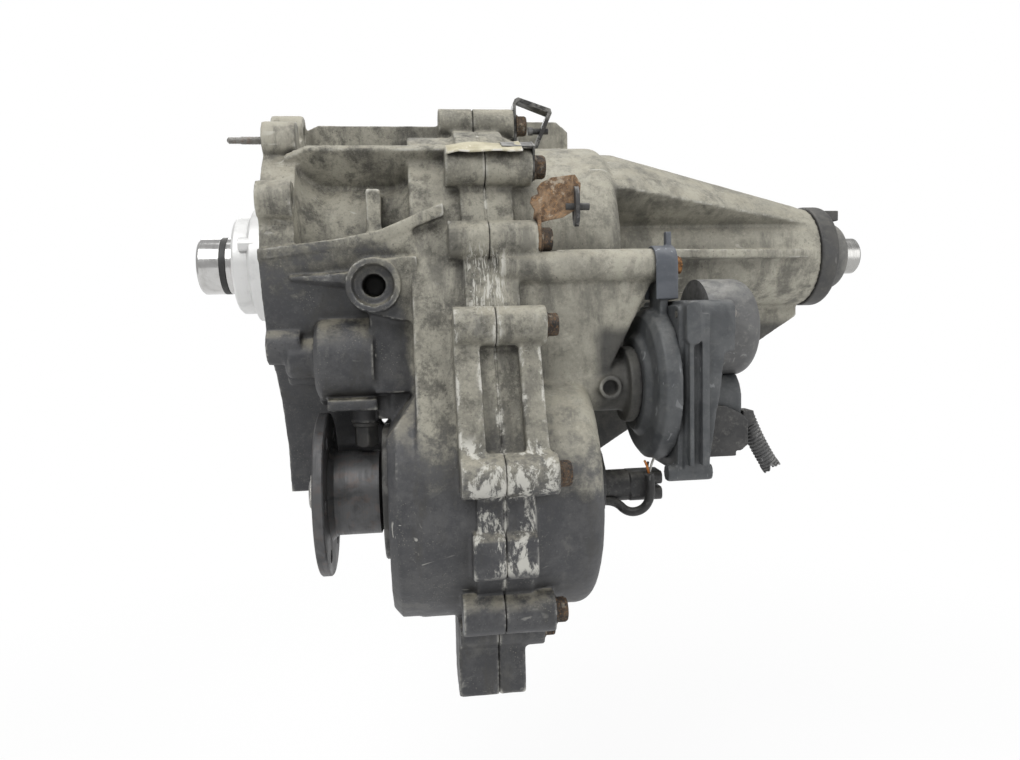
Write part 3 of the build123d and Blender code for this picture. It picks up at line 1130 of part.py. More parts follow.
# Tail seal and dust cover
COVER_R = 43.0
COVER_SKIN = 2.5
TAIL_SEAL_R = 29.0
with BuildPart() as tail_seal:
    with BuildSketch(MAIN):
        with BuildLine():
            Polyline((TAIL_END_X - 5, TAIL_JOURNAL_R + 4), (TAIL_END_X - 5, BUSH_R - RUNNING),
                     (TAIL_END_X + 4, BUSH_R - RUNNING), (TAIL_END_X + 8, TAIL_SEAL_R),
                     (TAIL_SEAL_END_X - 9, TAIL_SEAL_R))
            TangentArc((TAIL_SEAL_END_X - 9, TAIL_SEAL_R), (TAIL_SEAL_END_X, TAIL_SEAL_R - 7), tangent=(1, -0.1))
            Polyline((TAIL_SEAL_END_X, TAIL_SEAL_R - 7), (TAIL_SEAL_END_X, TAIL_JOURNAL_R + RUNNING),
                     (TAIL_END_X + 6, TAIL_JOURNAL_R + RUNNING), (TAIL_END_X + 2, TAIL_JOURNAL_R + 4),
                     (TAIL_END_X - 5, TAIL_JOURNAL_R + 4))
        make_face()
    revolve(axis=MAIN_AXIS)
finish(tail_seal, "tail_seal")

with BuildPart() as dust_cover:
    with BuildSketch(MAIN):
        with BuildLine():
            Polyline((TAIL_END_X, TAIL_SEAL_R + 5), (TAIL_END_X, COVER_R), (COVER_X - 6, COVER_R))
            TangentArc((COVER_X - 6, COVER_R), (COVER_X, COVER_R - 6), tangent=(1, 0))
            Polyline((COVER_X, COVER_R - 6), (COVER_X, TAIL_SEAL_R + 1), (COVER_X - COVER_SKIN, TAIL_SEAL_R + 1),
                     (COVER_X - COVER_SKIN, COVER_R - 7), (COVER_X - 7, COVER_R - COVER_SKIN),
                     (TAIL_END_X + COVER_SKIN, COVER_R - COVER_SKIN), (TAIL_END_X + COVER_SKIN, TAIL_SEAL_R + 5),
                     (TAIL_END_X, TAIL_SEAL_R + 5))
        make_face()
    revolve(axis=MAIN_AXIS)
    # Small locating tab on the rim
    with BuildSketch(across(COVER_X - 1)):
        with Locations((-10, COVER_R - 9)):
            Rectangle(12, 9)
    extrude(amount=13)
finish(dust_cover, "dust_cover")

# Front output
FRONT_END_X = 24.0
FRONT_HUB_END_X = 86.0
SEAL_JOURNAL_R = 26.0
LIP_R = 50.3
LIP_X = 79.0
NUT_AF = 32.0

with BuildPart() as front_output_shaft:
    with BuildSketch(FRONT):
        add(outline(
            (FRONT_END_X, 0), (FRONT_END_X, 10), (FRONT_END_X + 1, 11), (COMPANION_X + 6, 11),
            (COMPANION_X + 6, FRONT_SHAFT_R), (FRONT_HUB_END_X, FRONT_SHAFT_R), (FRONT_HUB_END_X, 18),
            (FRONT_BEARING_X + FRONT_BEARING_W, 18), (FRONT_BEARING_X + FRONT_BEARING_W, HUB_R),
            (CHAIN_X + CHAIN_W + 1, HUB_R), (CHAIN_X + CHAIN_W + 1, 18), (REAR_BEARING_X, 18),
            (REAR_BEARING_X, FRONT_SHAFT_R), (REAR_BEARING_X + REAR_BEARING_W + 8, FRONT_SHAFT_R),
            (REAR_BEARING_X + REAR_BEARING_W + 8, 0),
        ))
    revolve(axis=FRONT_AXIS)
finish(front_output_shaft, "front_output_shaft")


def moved_bearing(x, width, inner_r, outer_r):
    """A rolling bearing on the front output line."""
    return bearing(x, width, inner_r, outer_r).moved(Location((0, FRONT_OUT_Y, FRONT_OUT_Z)))


with BuildPart() as front_output_bearing:
    add(moved_bearing(FRONT_BEARING_X, FRONT_BEARING_W, 18 + RUNNING, FRONT_BEARING_R - RUNNING))
finish(front_output_bearing, "front_output_bearing")

with BuildPart() as rear_output_bearing:
    add(moved_bearing(REAR_BEARING_X, REAR_BEARING_W, FRONT_SHAFT_R + RUNNING, REAR_BEARING_R - RUNNING))
finish(rear_output_bearing, "rear_output_bearing")

with BuildPart() as companion_flange:
    with BuildSketch(FRONT):
        add(outline(
            (COMPANION_X, 24), (COMPANION_X, COMPANION_R - 1), (COMPANION_X + 1, COMPANION_R),
            (COMPANION_X + COMPANION_T - 1, COMPANION_R), (COMPANION_X + COMPANION_T, COMPANION_R - 1),
            (COMPANION_X + COMPANION_T, COMPANION_HUB_R + 4), (COMPANION_X + COMPANION_T + 4, COMPANION_HUB_R),
            (LIP_X - 3, COMPANION_HUB_R), (LIP_X - 1, SEAL_JOURNAL_R), (FRONT_HUB_END_X, SEAL_JOURNAL_R),
            (FRONT_HUB_END_X, FRONT_SHAFT_R + RUNNING), (COMPANION_X + 6, FRONT_SHAFT_R + RUNNING),
            (COMPANION_X + 6, 22),
        ))
    revolve(axis=FRONT_AXIS)
    with BuildSketch(across(COMPANION_X, FRONT_OUT_Y, FRONT_OUT_Z)):
        with PolarLocations(COMPANION_PCD / 2, COMPANION_HOLES, start_angle=0):
            Circle(COMPANION_HOLE_R)
    extrude(amount=COMPANION_T + 6, mode=Mode.SUBTRACT)
finish(companion_flange, "companion_flange")

with BuildPart() as flange_nut:
    with BuildSketch(across(FRONT_END_X + 2, FRONT_OUT_Y, FRONT_OUT_Z)):
        RegularPolygon(NUT_AF / 2, 6, major_radius=False)
        Circle(11 + RUNNING, mode=Mode.SUBTRACT)
    extrude(amount=COMPANION_X + 6 - FRONT_END_X - 2)
finish(flange_nut, "flange_nut")

with BuildPart() as front_output_seal:
    with BuildSketch(FRONT):
        add(outline((LOW_FRONT_X, SEAL_JOURNAL_R + RUNNING), (LOW_FRONT_X, FRONT_BEARING_R - 4 - RUNNING),
                    (FRONT_BEARING_X - 0.2, FRONT_BEARING_R - 4 - RUNNING), (FRONT_BEARING_X - 0.2, 30),
                    (LOW_FRONT_X + 2, 29), (LOW_FRONT_X + 2, SEAL_JOURNAL_R + RUNNING)))
    revolve(axis=FRONT_AXIS)
finish(front_output_seal, "front_output_seal")

with BuildPart() as dust_lip:
    with BuildSketch(FRONT):
        add(outline((LIP_X, SEAL_JOURNAL_R + 1.5), (LIP_X, LIP_R - 1), (LIP_X + 1, LIP_R), (LOW_FRONT_X, LIP_R),
                    (LOW_FRONT_X, 33), (LIP_X + 2, 33), (LIP_X + 2, SEAL_JOURNAL_R + 1.5)))
    revolve(axis=FRONT_AXIS)
finish(dust_lip, "dust_lip")

# Case bolts with washer heads, three of them over a bracket's foot
FOOT_PLATES = {0: 2.5, 1: 1.5, 2: 2.5}
with BuildPart() as case_bolts:
    for number, place in enumerate(CASE_BOLTS):
        seat_x = SEAT_X + FOOT_PLATES.get(number, 0.0)
        with BuildSketch(across(BOLT_THREAD_X)):
            with Locations(place):
                Circle(BOLT_R)
        extrude(amount=seat_x - BOLT_THREAD_X)
        with BuildSketch(across(seat_x)):
            with Locations(place):
                Circle(BOLT_WASHER_R)
        extrude(amount=1.8)
        with BuildSketch(across(seat_x + 1.8)):
            with Locations(place):
                RegularPolygon(BOLT_HEAD_AF / 2, 6, major_radius=False, rotation=17 * number)
        extrude(amount=BOLT_HEAD_T)
finish(case_bolts, "case_bolts")

with BuildPart() as side_plug:
    with BuildSketch(Plane.XY.offset(PLUG_Z - 18)):
        with Locations((PLUG_X, PLUG_Y)):
            RegularPolygon(8.0, 6, major_radius=False)
    extrude(amount=15)
    with BuildSketch(Plane.XY.offset(PLUG_Z - 3)):
        with Locations((PLUG_X, PLUG_Y)):
            Circle(PLUG_SEAT_R - 1)
    extrude(amount=3)
    with BuildSketch(Plane.XY.offset(PLUG_Z)):
        with Locations((PLUG_X, PLUG_Y)):
            Circle(PLUG_R)
    extrude(amount=14)
finish(side_plug, "side_plug")

# Bent strap over the top bolt and its clip
with BuildPart() as loop_bracket:
    with BuildSketch(Plane.XZ.offset(0)):
        add(outline((SEAT_X, 98), (SEAT_X, 129), (SEAT_X + 1.5, 132.5), (SEAT_X + 4.5, 134), (SEAT_X + 31.5, 125),
                    (SEAT_X + 32.5, 121.5), (SEAT_X + 20.5, 93.5), (SEAT_X + 17.5, 94.5), (SEAT_X + 29, 121.8),
                    (SEAT_X + 4.5, 131), (SEAT_X + 2.5, 129), (SEAT_X + 2.5, 98)))
    extrude(amount=7, both=True)
    with BuildSketch(across(SEAT_X)):
        with Locations(CASE_BOLTS[0]):
            Circle(BOLT_R + BOLT_CLEARANCE)
    extrude(amount=2.5, mode=Mode.SUBTRACT)
    # The free leg narrows to its tip
    with BuildSketch(across(SEAT_X + 14)):
        add(outline((-9, 118), (-7, 118), (-2.5, 90), (-9, 90)))
        add(outline((9, 118), (7, 118), (2.5, 90), (9, 90)))
    extrude(amount=20, mode=Mode.SUBTRACT)
    with BuildSketch(across(SEAT_X + 14, 0, 108)):
        Circle(2.5)
    extrude(amount=20, mode=Mode.SUBTRACT)
finish(loop_bracket, "loop_bracket")

with BuildPart() as loop_clip:
    with BuildSketch(across(SEAT_X + 13, 0, 108)):
        Circle(2.48)
    extrude(amount=17)
    with BuildSketch(across(SEAT_X + 13, 0, 108)):
        Circle(3.4)
    extrude(amount=4)
finish(loop_clip, "loop_clip")

# Cream tag over the second boss, and the plate that holds it
TAG_ANGLE = radians(113)
TAG_ROLL_OUT = BOSS_R + 0.02
tag_plane = Plane(
    origin=(0, *CASE_BOLTS[1]), x_dir=(0, -sin(TAG_ANGLE), cos(TAG_ANGLE)), z_dir=(1, 0, 0)
)
with BuildPart() as tag_bracket:
    with BuildSketch(tag_plane.offset(SEAT_X)):
        Circle(10.0)
        with Locations((0, -8)):
            Rectangle(16, 16)
        with Locations((0, -16)):
            Rectangle(16, 1.6)
        Circle(BOLT_R + BOLT_CLEARANCE, mode=Mode.SUBTRACT)
    extrude(amount=1.5)
    with BuildSketch(tag_plane.offset(SEAT_X - 22)):
        with Locations((0, -TAG_ROLL_OUT - 2.4)):
            Rectangle(14, 1.2)
    extrude(amount=23.5)
finish(tag_bracket, "tag_bracket")

with BuildPart() as cream_tag:
    with BuildSketch(tag_plane.offset(SEAT_X - 61)):
        with Locations((1, -TAG_ROLL_OUT - 0.9)):
            Rectangle(26, 1.8)
    extrude(amount=53)
finish(cream_tag, "cream_tag")

# Sheet bracket over the third bolt and its clip
SHEET_Y = -114.0
SHEET_T = 2.2
SHEET = (
    (190, 21.6), (191, 28), (188, 33), (189, 37), (194, 39), (193, 43), (196, 46.5), (203, 50), (220, 52), (224, 46),
    (223, 33), (219, 27), (211, 22.5), (200, 20.5), (SEAT_X + 2.5, 19),
    (SEAT_X, 19), (SEAT_X, 21.6),
)
CLIP_X = 219.0
with BuildPart() as sheet_bracket:
    with BuildSketch(Plane.XZ.offset(-SHEET_Y)):
        add(outline(*SHEET))
    extrude(amount=SHEET_T)
    with BuildSketch(across(SEAT_X)):
        add(outline((-121, 8), (-102.4, 8), (-102.4, 18), (-109, 25), (-121, 25)))
        with Locations(CASE_BOLTS[2]):
            Circle(BOLT_WASHER_R)
        with Locations(CASE_BOLTS[2]):
            Circle(BOLT_R + BOLT_CLEARANCE, mode=Mode.SUBTRACT)
    extrude(amount=2.5)
finish(sheet_bracket, "sheet_bracket")

with BuildPart() as sheet_clip:
    with BuildSketch(across(CLIP_X, SHEET_Y - 2, 30)):
        Ellipse(7.0, 14.0)
    extrude(amount=3)
    with BuildSketch(across(CLIP_X - 6, SHEET_Y - 1, 30)):
        Circle(2.6)
    extrude(amount=17)
    add(sheet_bracket.part, mode=Mode.SUBTRACT)
    with BuildSketch(across(CLIP_X - 10, SHEET_Y - SHEET_T / 2, 30)):
        Rectangle(SHEET_T, 44)
    extrude(amount=CLIP_X - 10 + 24 - CLIP_X, mode=Mode.SUBTRACT)
finish(sheet_clip, "sheet_clip")

# Shift actuator
HOUSING_END_X = 284.0
EAR_END_X = 290.0
COVER_END_X = 323.0
MOTOR_X = 312.0
MOTOR_END_X = 352.0
MOTOR_Y = -100.0
SECTOR_AXIS = Axis((0, SECTOR_Y, SECTOR_Z), (1, 0, 0))
SECTOR_PLANE = Plane(origin=(0, SECTOR_Y, SECTOR_Z), x_dir=(1, 0, 0), z_dir=(0, 0, 1))
SCREW_PLACES = ((-141, -47), (-59, -47), (-137, -151), (-63, -151))

with BuildPart() as actuator_housing:
    with BuildSketch(SECTOR_PLANE):
        add(outline((ACTUATOR_X, 0), (ACTUATOR_X, 34), (ACTUATOR_X + 4, 38), (ACTUATOR_X + 5, 50),
                    (ACTUATOR_X + 9, ACTUATOR_R - 1), (HOUSING_END_X - 3, ACTUATOR_R), (HOUSING_END_X, ACTUATOR_R),
                    (HOUSING_END_X, 0)))
    revolve(axis=SECTOR_AXIS)
    # Ear on the arm of the rear case
    with BuildSketch(across(ARM_END_X)):
        with Locations((ARM_Y, ARM_Z)):
            Circle(ARM_R)
        with Locations((ARM_Y, ARM_Z - 22)):
            Rectangle(2 * ARM_R, 44)
    extrude(amount=EAR_END_X - ARM_END_X)
    with BuildSketch(across(HOUSING_END_X)):
        add(outline((-150, -70), (-50, -70), (-50, -36.9), (-150, -36.9)))
    extrude(amount=EAR_END_X - HOUSING_END_X, mode=Mode.SUBTRACT)
    with BuildSketch(across(HOUSING_END_X, SECTOR_Y, SECTOR_Z)):
        Circle(ACTUATOR_R + 6)
    extrude(amount=EAR_END_X - HOUSING_END_X, mode=Mode.SUBTRACT)
    with BuildSketch(across(ARM_END_X, ARM_Y, ARM_Z)):
        Circle(4.2)
    extrude(amount=EAR_END_X - ARM_END_X, mode=Mode.SUBTRACT)
    # Socket for the end of the sector shaft
    with BuildSketch(across(ACTUATOR_X, SECTOR_Y, SECTOR_Z)):
        Circle(SECTOR_R + RUNNING)
    extrude(amount=12, mode=Mode.SUBTRACT)
finish(actuator_housing, "actuator_housing")


def cover_face(inset):
    """The actuator cover's outline, drawn in by an inset."""
    with BuildSketch(Plane.XY) as face:
        with Locations(*SCREW_PLACES):
            Circle(9.5 - inset)
        make_hull()
        with Locations((SECTOR_Y, SECTOR_Z)):
            Circle(50.0 - inset)
    return face.sketch


with BuildPart() as actuator_cover:
    with BuildSketch(across(HOUSING_END_X)):
        add(cover_face(3.5))
    extrude(amount=3.5)
    with BuildSketch(across(HOUSING_END_X + 3.5)):
        add(cover_face(0))
    extrude(amount=COVER_END_X - HOUSING_END_X - 3.5)
    # The rear face slopes in towards the bottom
    with BuildSketch(Plane.XZ.offset(0)):
        add(outline((COVER_END_X + 2, -72), (316, -74), (304, -166), (COVER_END_X + 2, -166)))
    extrude(amount=170, mode=Mode.SUBTRACT)
    # Upright ribs along the near edge
    for rib_x, rib_w in ((289.0, 3.0), (298.0, 5.0)):
        with BuildSketch(Plane.XZ.offset(146)):
            with Locations((rib_x + rib_w / 2, -99)):
                Rectangle(rib_w, 104)
        extrude(amount=8)
    # Rounded lug near the top and long screw boss at the bottom
    with BuildSketch(Plane.XZ.offset(146)):
        with Locations((292, -53)):
            SlotOverall(30, 11, rotation=90)
    extrude(amount=9)
    with BuildSketch(across(HOUSING_END_X - 7, -139, -158)):
        Circle(6.0)
    extrude(amount=32)
    # Gear boss beside the motor
    with BuildSketch(across(HOUSING_END_X + 10, -98, -112)):
        Circle(24.0)
    extrude(amount=46)
    with BuildSketch(across(MOTOR_X, MOTOR_Y, MOTOR_Z)):
        Circle(MOTOR_R)
    extrude(amount=MOTOR_END_X - MOTOR_X, mode=Mode.SUBTRACT)
    with BuildSketch(across(HOUSING_END_X)):
        with Locations(*SCREW_PLACES[:2]):
            Circle(2.5)
    extrude(amount=COVER_END_X - HOUSING_END_X, mode=Mode.SUBTRACT)
finish(actuator_cover, "actuator_cover")

with BuildPart() as cover_screws:
    with BuildSketch(across(HOUSING_END_X)):
        with Locations(*SCREW_PLACES[:2]):
            Circle(2.5)
    extrude(amount=COVER_END_X - HOUSING_END_X)
    with BuildSketch(across(COVER_END_X)):
        with Locations(*SCREW_PLACES[:2]):
            Circle(5.0)
    extrude(amount=3.5)
finish(cover_screws, "cover_screws")

with BuildPart() as actuator_motor:
    with BuildSketch(Plane(origin=(0, MOTOR_Y, MOTOR_Z), x_dir=(1, 0, 0), z_dir=(0, 0, 1))):
        with BuildLine():
            Polyline((MOTOR_END_X, 0), (MOTOR_X, 0), (MOTOR_X, MOTOR_R), (MOTOR_END_X - 13, MOTOR_R))
            TangentArc((MOTOR_END_X - 13, MOTOR_R), (MOTOR_END_X, MOTOR_R - 13), tangent=(1, 0))
            Line((MOTOR_END_X, MOTOR_R - 13), (MOTOR_END_X, 0))
        make_face()
    revolve(axis=Axis((0, MOTOR_Y, MOTOR_Z), (1, 0, 0)))
finish(actuator_motor, "actuator_motor")

with BuildPart() as actuator_bolt:
    with BuildSketch(across(ARM_END_X - 22, ARM_Y, ARM_Z)):
        Circle(3.98)
    extrude(amount=EAR_END_X - ARM_END_X + 22)
    with BuildSketch(across(EAR_END_X, ARM_Y, ARM_Z)):
        Circle(7.5)
    extrude(amount=1.5)
    with BuildSketch(across(EAR_END_X + 1.5, ARM_Y, ARM_Z)):
        RegularPolygon(6.0, 6, major_radius=False)
    extrude(amount=6)
finish(actuator_bolt, "actuator_bolt")

with BuildPart() as actuator_strap:
    with BuildSketch(across(ARM_END_X - 3, ARM_Y, ARM_Z)):
        Circle(ARM_R + 1.8)
        with Locations((0, -12.2)):
            Rectangle(2 * ARM_R + 3.6, 24)
        Circle(ARM_R + 0.02, mode=Mode.SUBTRACT)
        with Locations((0, -17)):
            Rectangle(2 * ARM_R + 0.04, 34, mode=Mode.SUBTRACT)
    extrude(amount=16)
    # Tie head above the band
    with BuildSketch(across(ARM_END_X + 8, ARM_Y, ARM_Z + ARM_R + 6)):
        Rectangle(6, 11)
    extrude(amount=4)
finish(actuator_strap, "actuator_strap")

# Actuator plug and the cut length of ribbed conduit
CONDUIT_R = 6.8
CONDUIT_ROUTE = ((348.0, -112.0, -126.0), (355.5, -112.0, -145.0), (368.0, -112.0, -164.0))
LEAD_R = 3.4
LEAD_ROUTE = (
    (243.0, -96.0, -186.5), (251.0, -96.0, -186.5), (260.0, -99.5, -196.0), (272.0, -103.0, -193.0),
    (277.5, -104.5, -180.0), (275.0, -104.5, -165.0),
)
BEND_SHARE = 0.45


def bend_radii(route):
    """One bend radius for each inner corner of a route, from its shorter run and its turn."""
    radii = []
    for before, corner, after in zip(route, route[1:], route[2:]):
        first = Vector(*corner) - Vector(*before)
        second = Vector(*after) - Vector(*corner)
        turn = radians(first.get_angle(second))
        radii.append(BEND_SHARE * min(first.length, second.length) / tan(turn / 2))
    return radii


def cord(route, radius):
    """A round cord along a route of straight runs joined by tangent arcs."""
    radii = bend_radii(route)
    with BuildPart() as tube:
        with BuildLine() as line:
            FilletPolyline(*route, radius=radii)
        path = line.wire()
        with BuildSketch(Plane(origin=path @ 0, z_dir=path % 0)):
            Circle(radius)
        sweep(path=path)
    section_length = pi * radius**2 * path.length
    print("cord", "bends", [round(r, 1) for r in radii], "length", round(path.length, 1),
          "volume", round(tube.part.volume), "section times length", round(section_length))
    return tube.part


with BuildPart() as actuator_conduit:
    add(cord(CONDUIT_ROUTE, CONDUIT_R))
finish(actuator_conduit, "actuator_conduit")

with BuildPart() as sensor_lead:
    add(cord(LEAD_ROUTE, LEAD_R))
finish(sensor_lead, "sensor_lead")

with BuildPart() as actuator_plug:
    with BuildSketch(Plane.XZ.offset(98)):
        add(outline((300, -114), (326, -114), (338, -120), (343, -125), (343, -143), (338, -147), (334, -147),
                    (334, -151), (300, -151)))
    extrude(amount=28)
    with BuildSketch(Plane.XZ.offset(104)):
        add(outline((342, -119), (350, -119), (352, -127), (342, -134)))
    extrude(amount=16)
    add(actuator_cover.part, mode=Mode.SUBTRACT)
    add(actuator_housing.part, mode=Mode.SUBTRACT)
    add(actuator_conduit.part, mode=Mode.SUBTRACT)
finish(actuator_plug, "actuator_plug")

# Speed sensor on the rear hub of the front output
SENSOR_Y = -86.0
SENSOR_Z = -177.0
SENSOR_R = 12.0
with BuildPart() as output_sensor:
    with BuildSketch(across(REAR_HUB_X, SENSOR_Y, SENSOR_Z)):
        Circle(SENSOR_R)
    extrude(amount=20)
    with BuildSketch(across(REAR_HUB_X + 20, SENSOR_Y, SENSOR_Z)):
        RectangleRounded(2 * SENSOR_R + 1, 2 * SENSOR_R - 2, 6)
    extrude(amount=18)
    with BuildSketch(across(REAR_HUB_X + 38, SENSOR_Y, SENSOR_Z)):
        with Locations((0, 6), (0, -6)):
            RectangleRounded(2 * SENSOR_R - 2, 10, 4)
    extrude(amount=7)
    add(sensor_lead.part, mode=Mode.SUBTRACT)
finish(output_sensor, "output_sensor")
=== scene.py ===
import json
import math

import bmesh
import bpy
import numpy as np
from mathutils import Matrix, Vector, noise


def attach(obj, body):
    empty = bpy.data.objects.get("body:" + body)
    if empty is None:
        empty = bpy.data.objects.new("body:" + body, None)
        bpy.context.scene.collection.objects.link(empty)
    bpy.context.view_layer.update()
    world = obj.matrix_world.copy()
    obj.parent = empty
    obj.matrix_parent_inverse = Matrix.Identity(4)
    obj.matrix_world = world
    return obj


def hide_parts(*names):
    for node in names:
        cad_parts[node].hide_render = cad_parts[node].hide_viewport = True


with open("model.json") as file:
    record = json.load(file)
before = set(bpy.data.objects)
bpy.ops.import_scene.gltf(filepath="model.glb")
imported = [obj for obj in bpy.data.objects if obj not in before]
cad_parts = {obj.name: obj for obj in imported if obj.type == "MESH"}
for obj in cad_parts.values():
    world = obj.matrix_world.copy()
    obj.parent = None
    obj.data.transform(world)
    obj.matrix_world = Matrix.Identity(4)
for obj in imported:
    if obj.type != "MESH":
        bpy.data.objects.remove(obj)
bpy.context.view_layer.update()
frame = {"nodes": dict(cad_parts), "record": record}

MM = 0.001

# Places taken from the part's own sizes, in millimetres and degrees
CENTRE_DISTANCE, FRONT_OUT_Y = 190.5, -77.4
FRONT_OUT = (FRONT_OUT_Y, -math.sqrt(CENTRE_DISTANCE**2 - FRONT_OUT_Y**2))
LEAN = math.degrees(math.atan2(FRONT_OUT[1], FRONT_OUT[0]))
UPPER_BOLT_R, UPPER_BOLT_ANGLES = 112.0, (90, 147, 176, 316, 345, 42)
LOWER_BOLT_R, LOWER_BOLT_ANGLES = 105.0, (164.5, 222, 255, 300, 328)
STRAIGHT_BOLT_SHARE = 0.45
SEAT_X = 192.2
FOOT_PLATES = {0: 2.5, 1: 1.5, 2: 2.5}

# Where the castings change their look, in metres
OIL_LINE_X, OIL_LINE_Z = (0.088, 0.112), (0.004, -0.135)
TAIL_LINE_X, TAIL_LINE_DROP = (0.19, 0.24), -0.012
FLANGE_X, WIPED_Z = (0.024, 0.034), (0.02, 0.06)
REAR_HALF_X = (0.165, 0.205)
SCRAPE_X = ((0.138, 0.146), (0.164, 0.172))
SCRAPE_Z = ((-0.050, -0.030), (-0.004, 0.008))
PAD_X = ((0.126, 0.132), (0.188, 0.194))
PAD_BACK_Y, PAD_FACE_Y, PAD_FOOT_Z = (-0.150, -0.146), (-0.172, -0.176), (-0.215, -0.205)
SHADED_X, SHADED_Z = (0.228, 0.240), (-0.062, -0.050)

# The colours of the castings
CAST = {
    "olive": (0.190, 0.182, 0.150),
    "pale": (0.345, 0.330, 0.272),
    "stain": (0.100, 0.096, 0.082),
    "chalk": (0.41, 0.392, 0.325),
    "speck": (0.40, 0.382, 0.312),
    "pore": (0.075, 0.072, 0.062),
    "oil": (0.045, 0.046, 0.050),
    "thin_oil": (0.088, 0.088, 0.090),
    "oily_speck": (0.155, 0.153, 0.145),
    "oily_patch": (0.145, 0.142, 0.130),
    "wiped": (0.42, 0.40, 0.335),
    "rear": (0.47, 0.452, 0.380),
    "run": (0.055, 0.053, 0.048),
    # Painted shade and grime, laid into the corners
    "grime_and_shade": (0.022, 0.021, 0.020),
    "dust": (0.38, 0.355, 0.28),
    "grit": (0.42, 0.40, 0.33),
    "pit": (0.022, 0.022, 0.022),
    "bare": (0.58, 0.57, 0.52),
    "shade": (0.040, 0.040, 0.040),
}
# The last colour on each of the next two lines darkens corners, as painted shade and grime
RUST_SPOT, PALE_DUST, RUST_GRIME_AND_SHADE = (0.20, 0.085, 0.03), (0.55, 0.50, 0.40), (0.02, 0.018, 0.015)
RETAINER_PALE, RETAINER_STAIN, RETAINER_GRIME_AND_SHADE = (0.78, 0.78, 0.77), (0.55, 0.55, 0.54), (0.12, 0.12, 0.115)


def polar(radius, degrees, centre=(0.0, 0.0)):
    """The point at an angle round a centre, as (y, z)."""
    angle = math.radians(degrees)
    return (centre[0] + radius * math.cos(angle), centre[1] + radius * math.sin(angle))


def case_bolt_places():
    """Where the case bolts stand, as (y, z) in millimetres."""
    places = [polar(UPPER_BOLT_R, angle) for angle in UPPER_BOLT_ANGLES]
    places += [polar(LOWER_BOLT_R, angle, FRONT_OUT) for angle in LOWER_BOLT_ANGLES]
    share = STRAIGHT_BOLT_SHARE
    for side in (LEAN - 90, LEAN + 90):
        top = polar(UPPER_BOLT_R, side)
        low = polar(LOWER_BOLT_R, side, FRONT_OUT)
        places.append(tuple(above * share + below * (1 - share) for above, below in zip(top, low)))
    return places


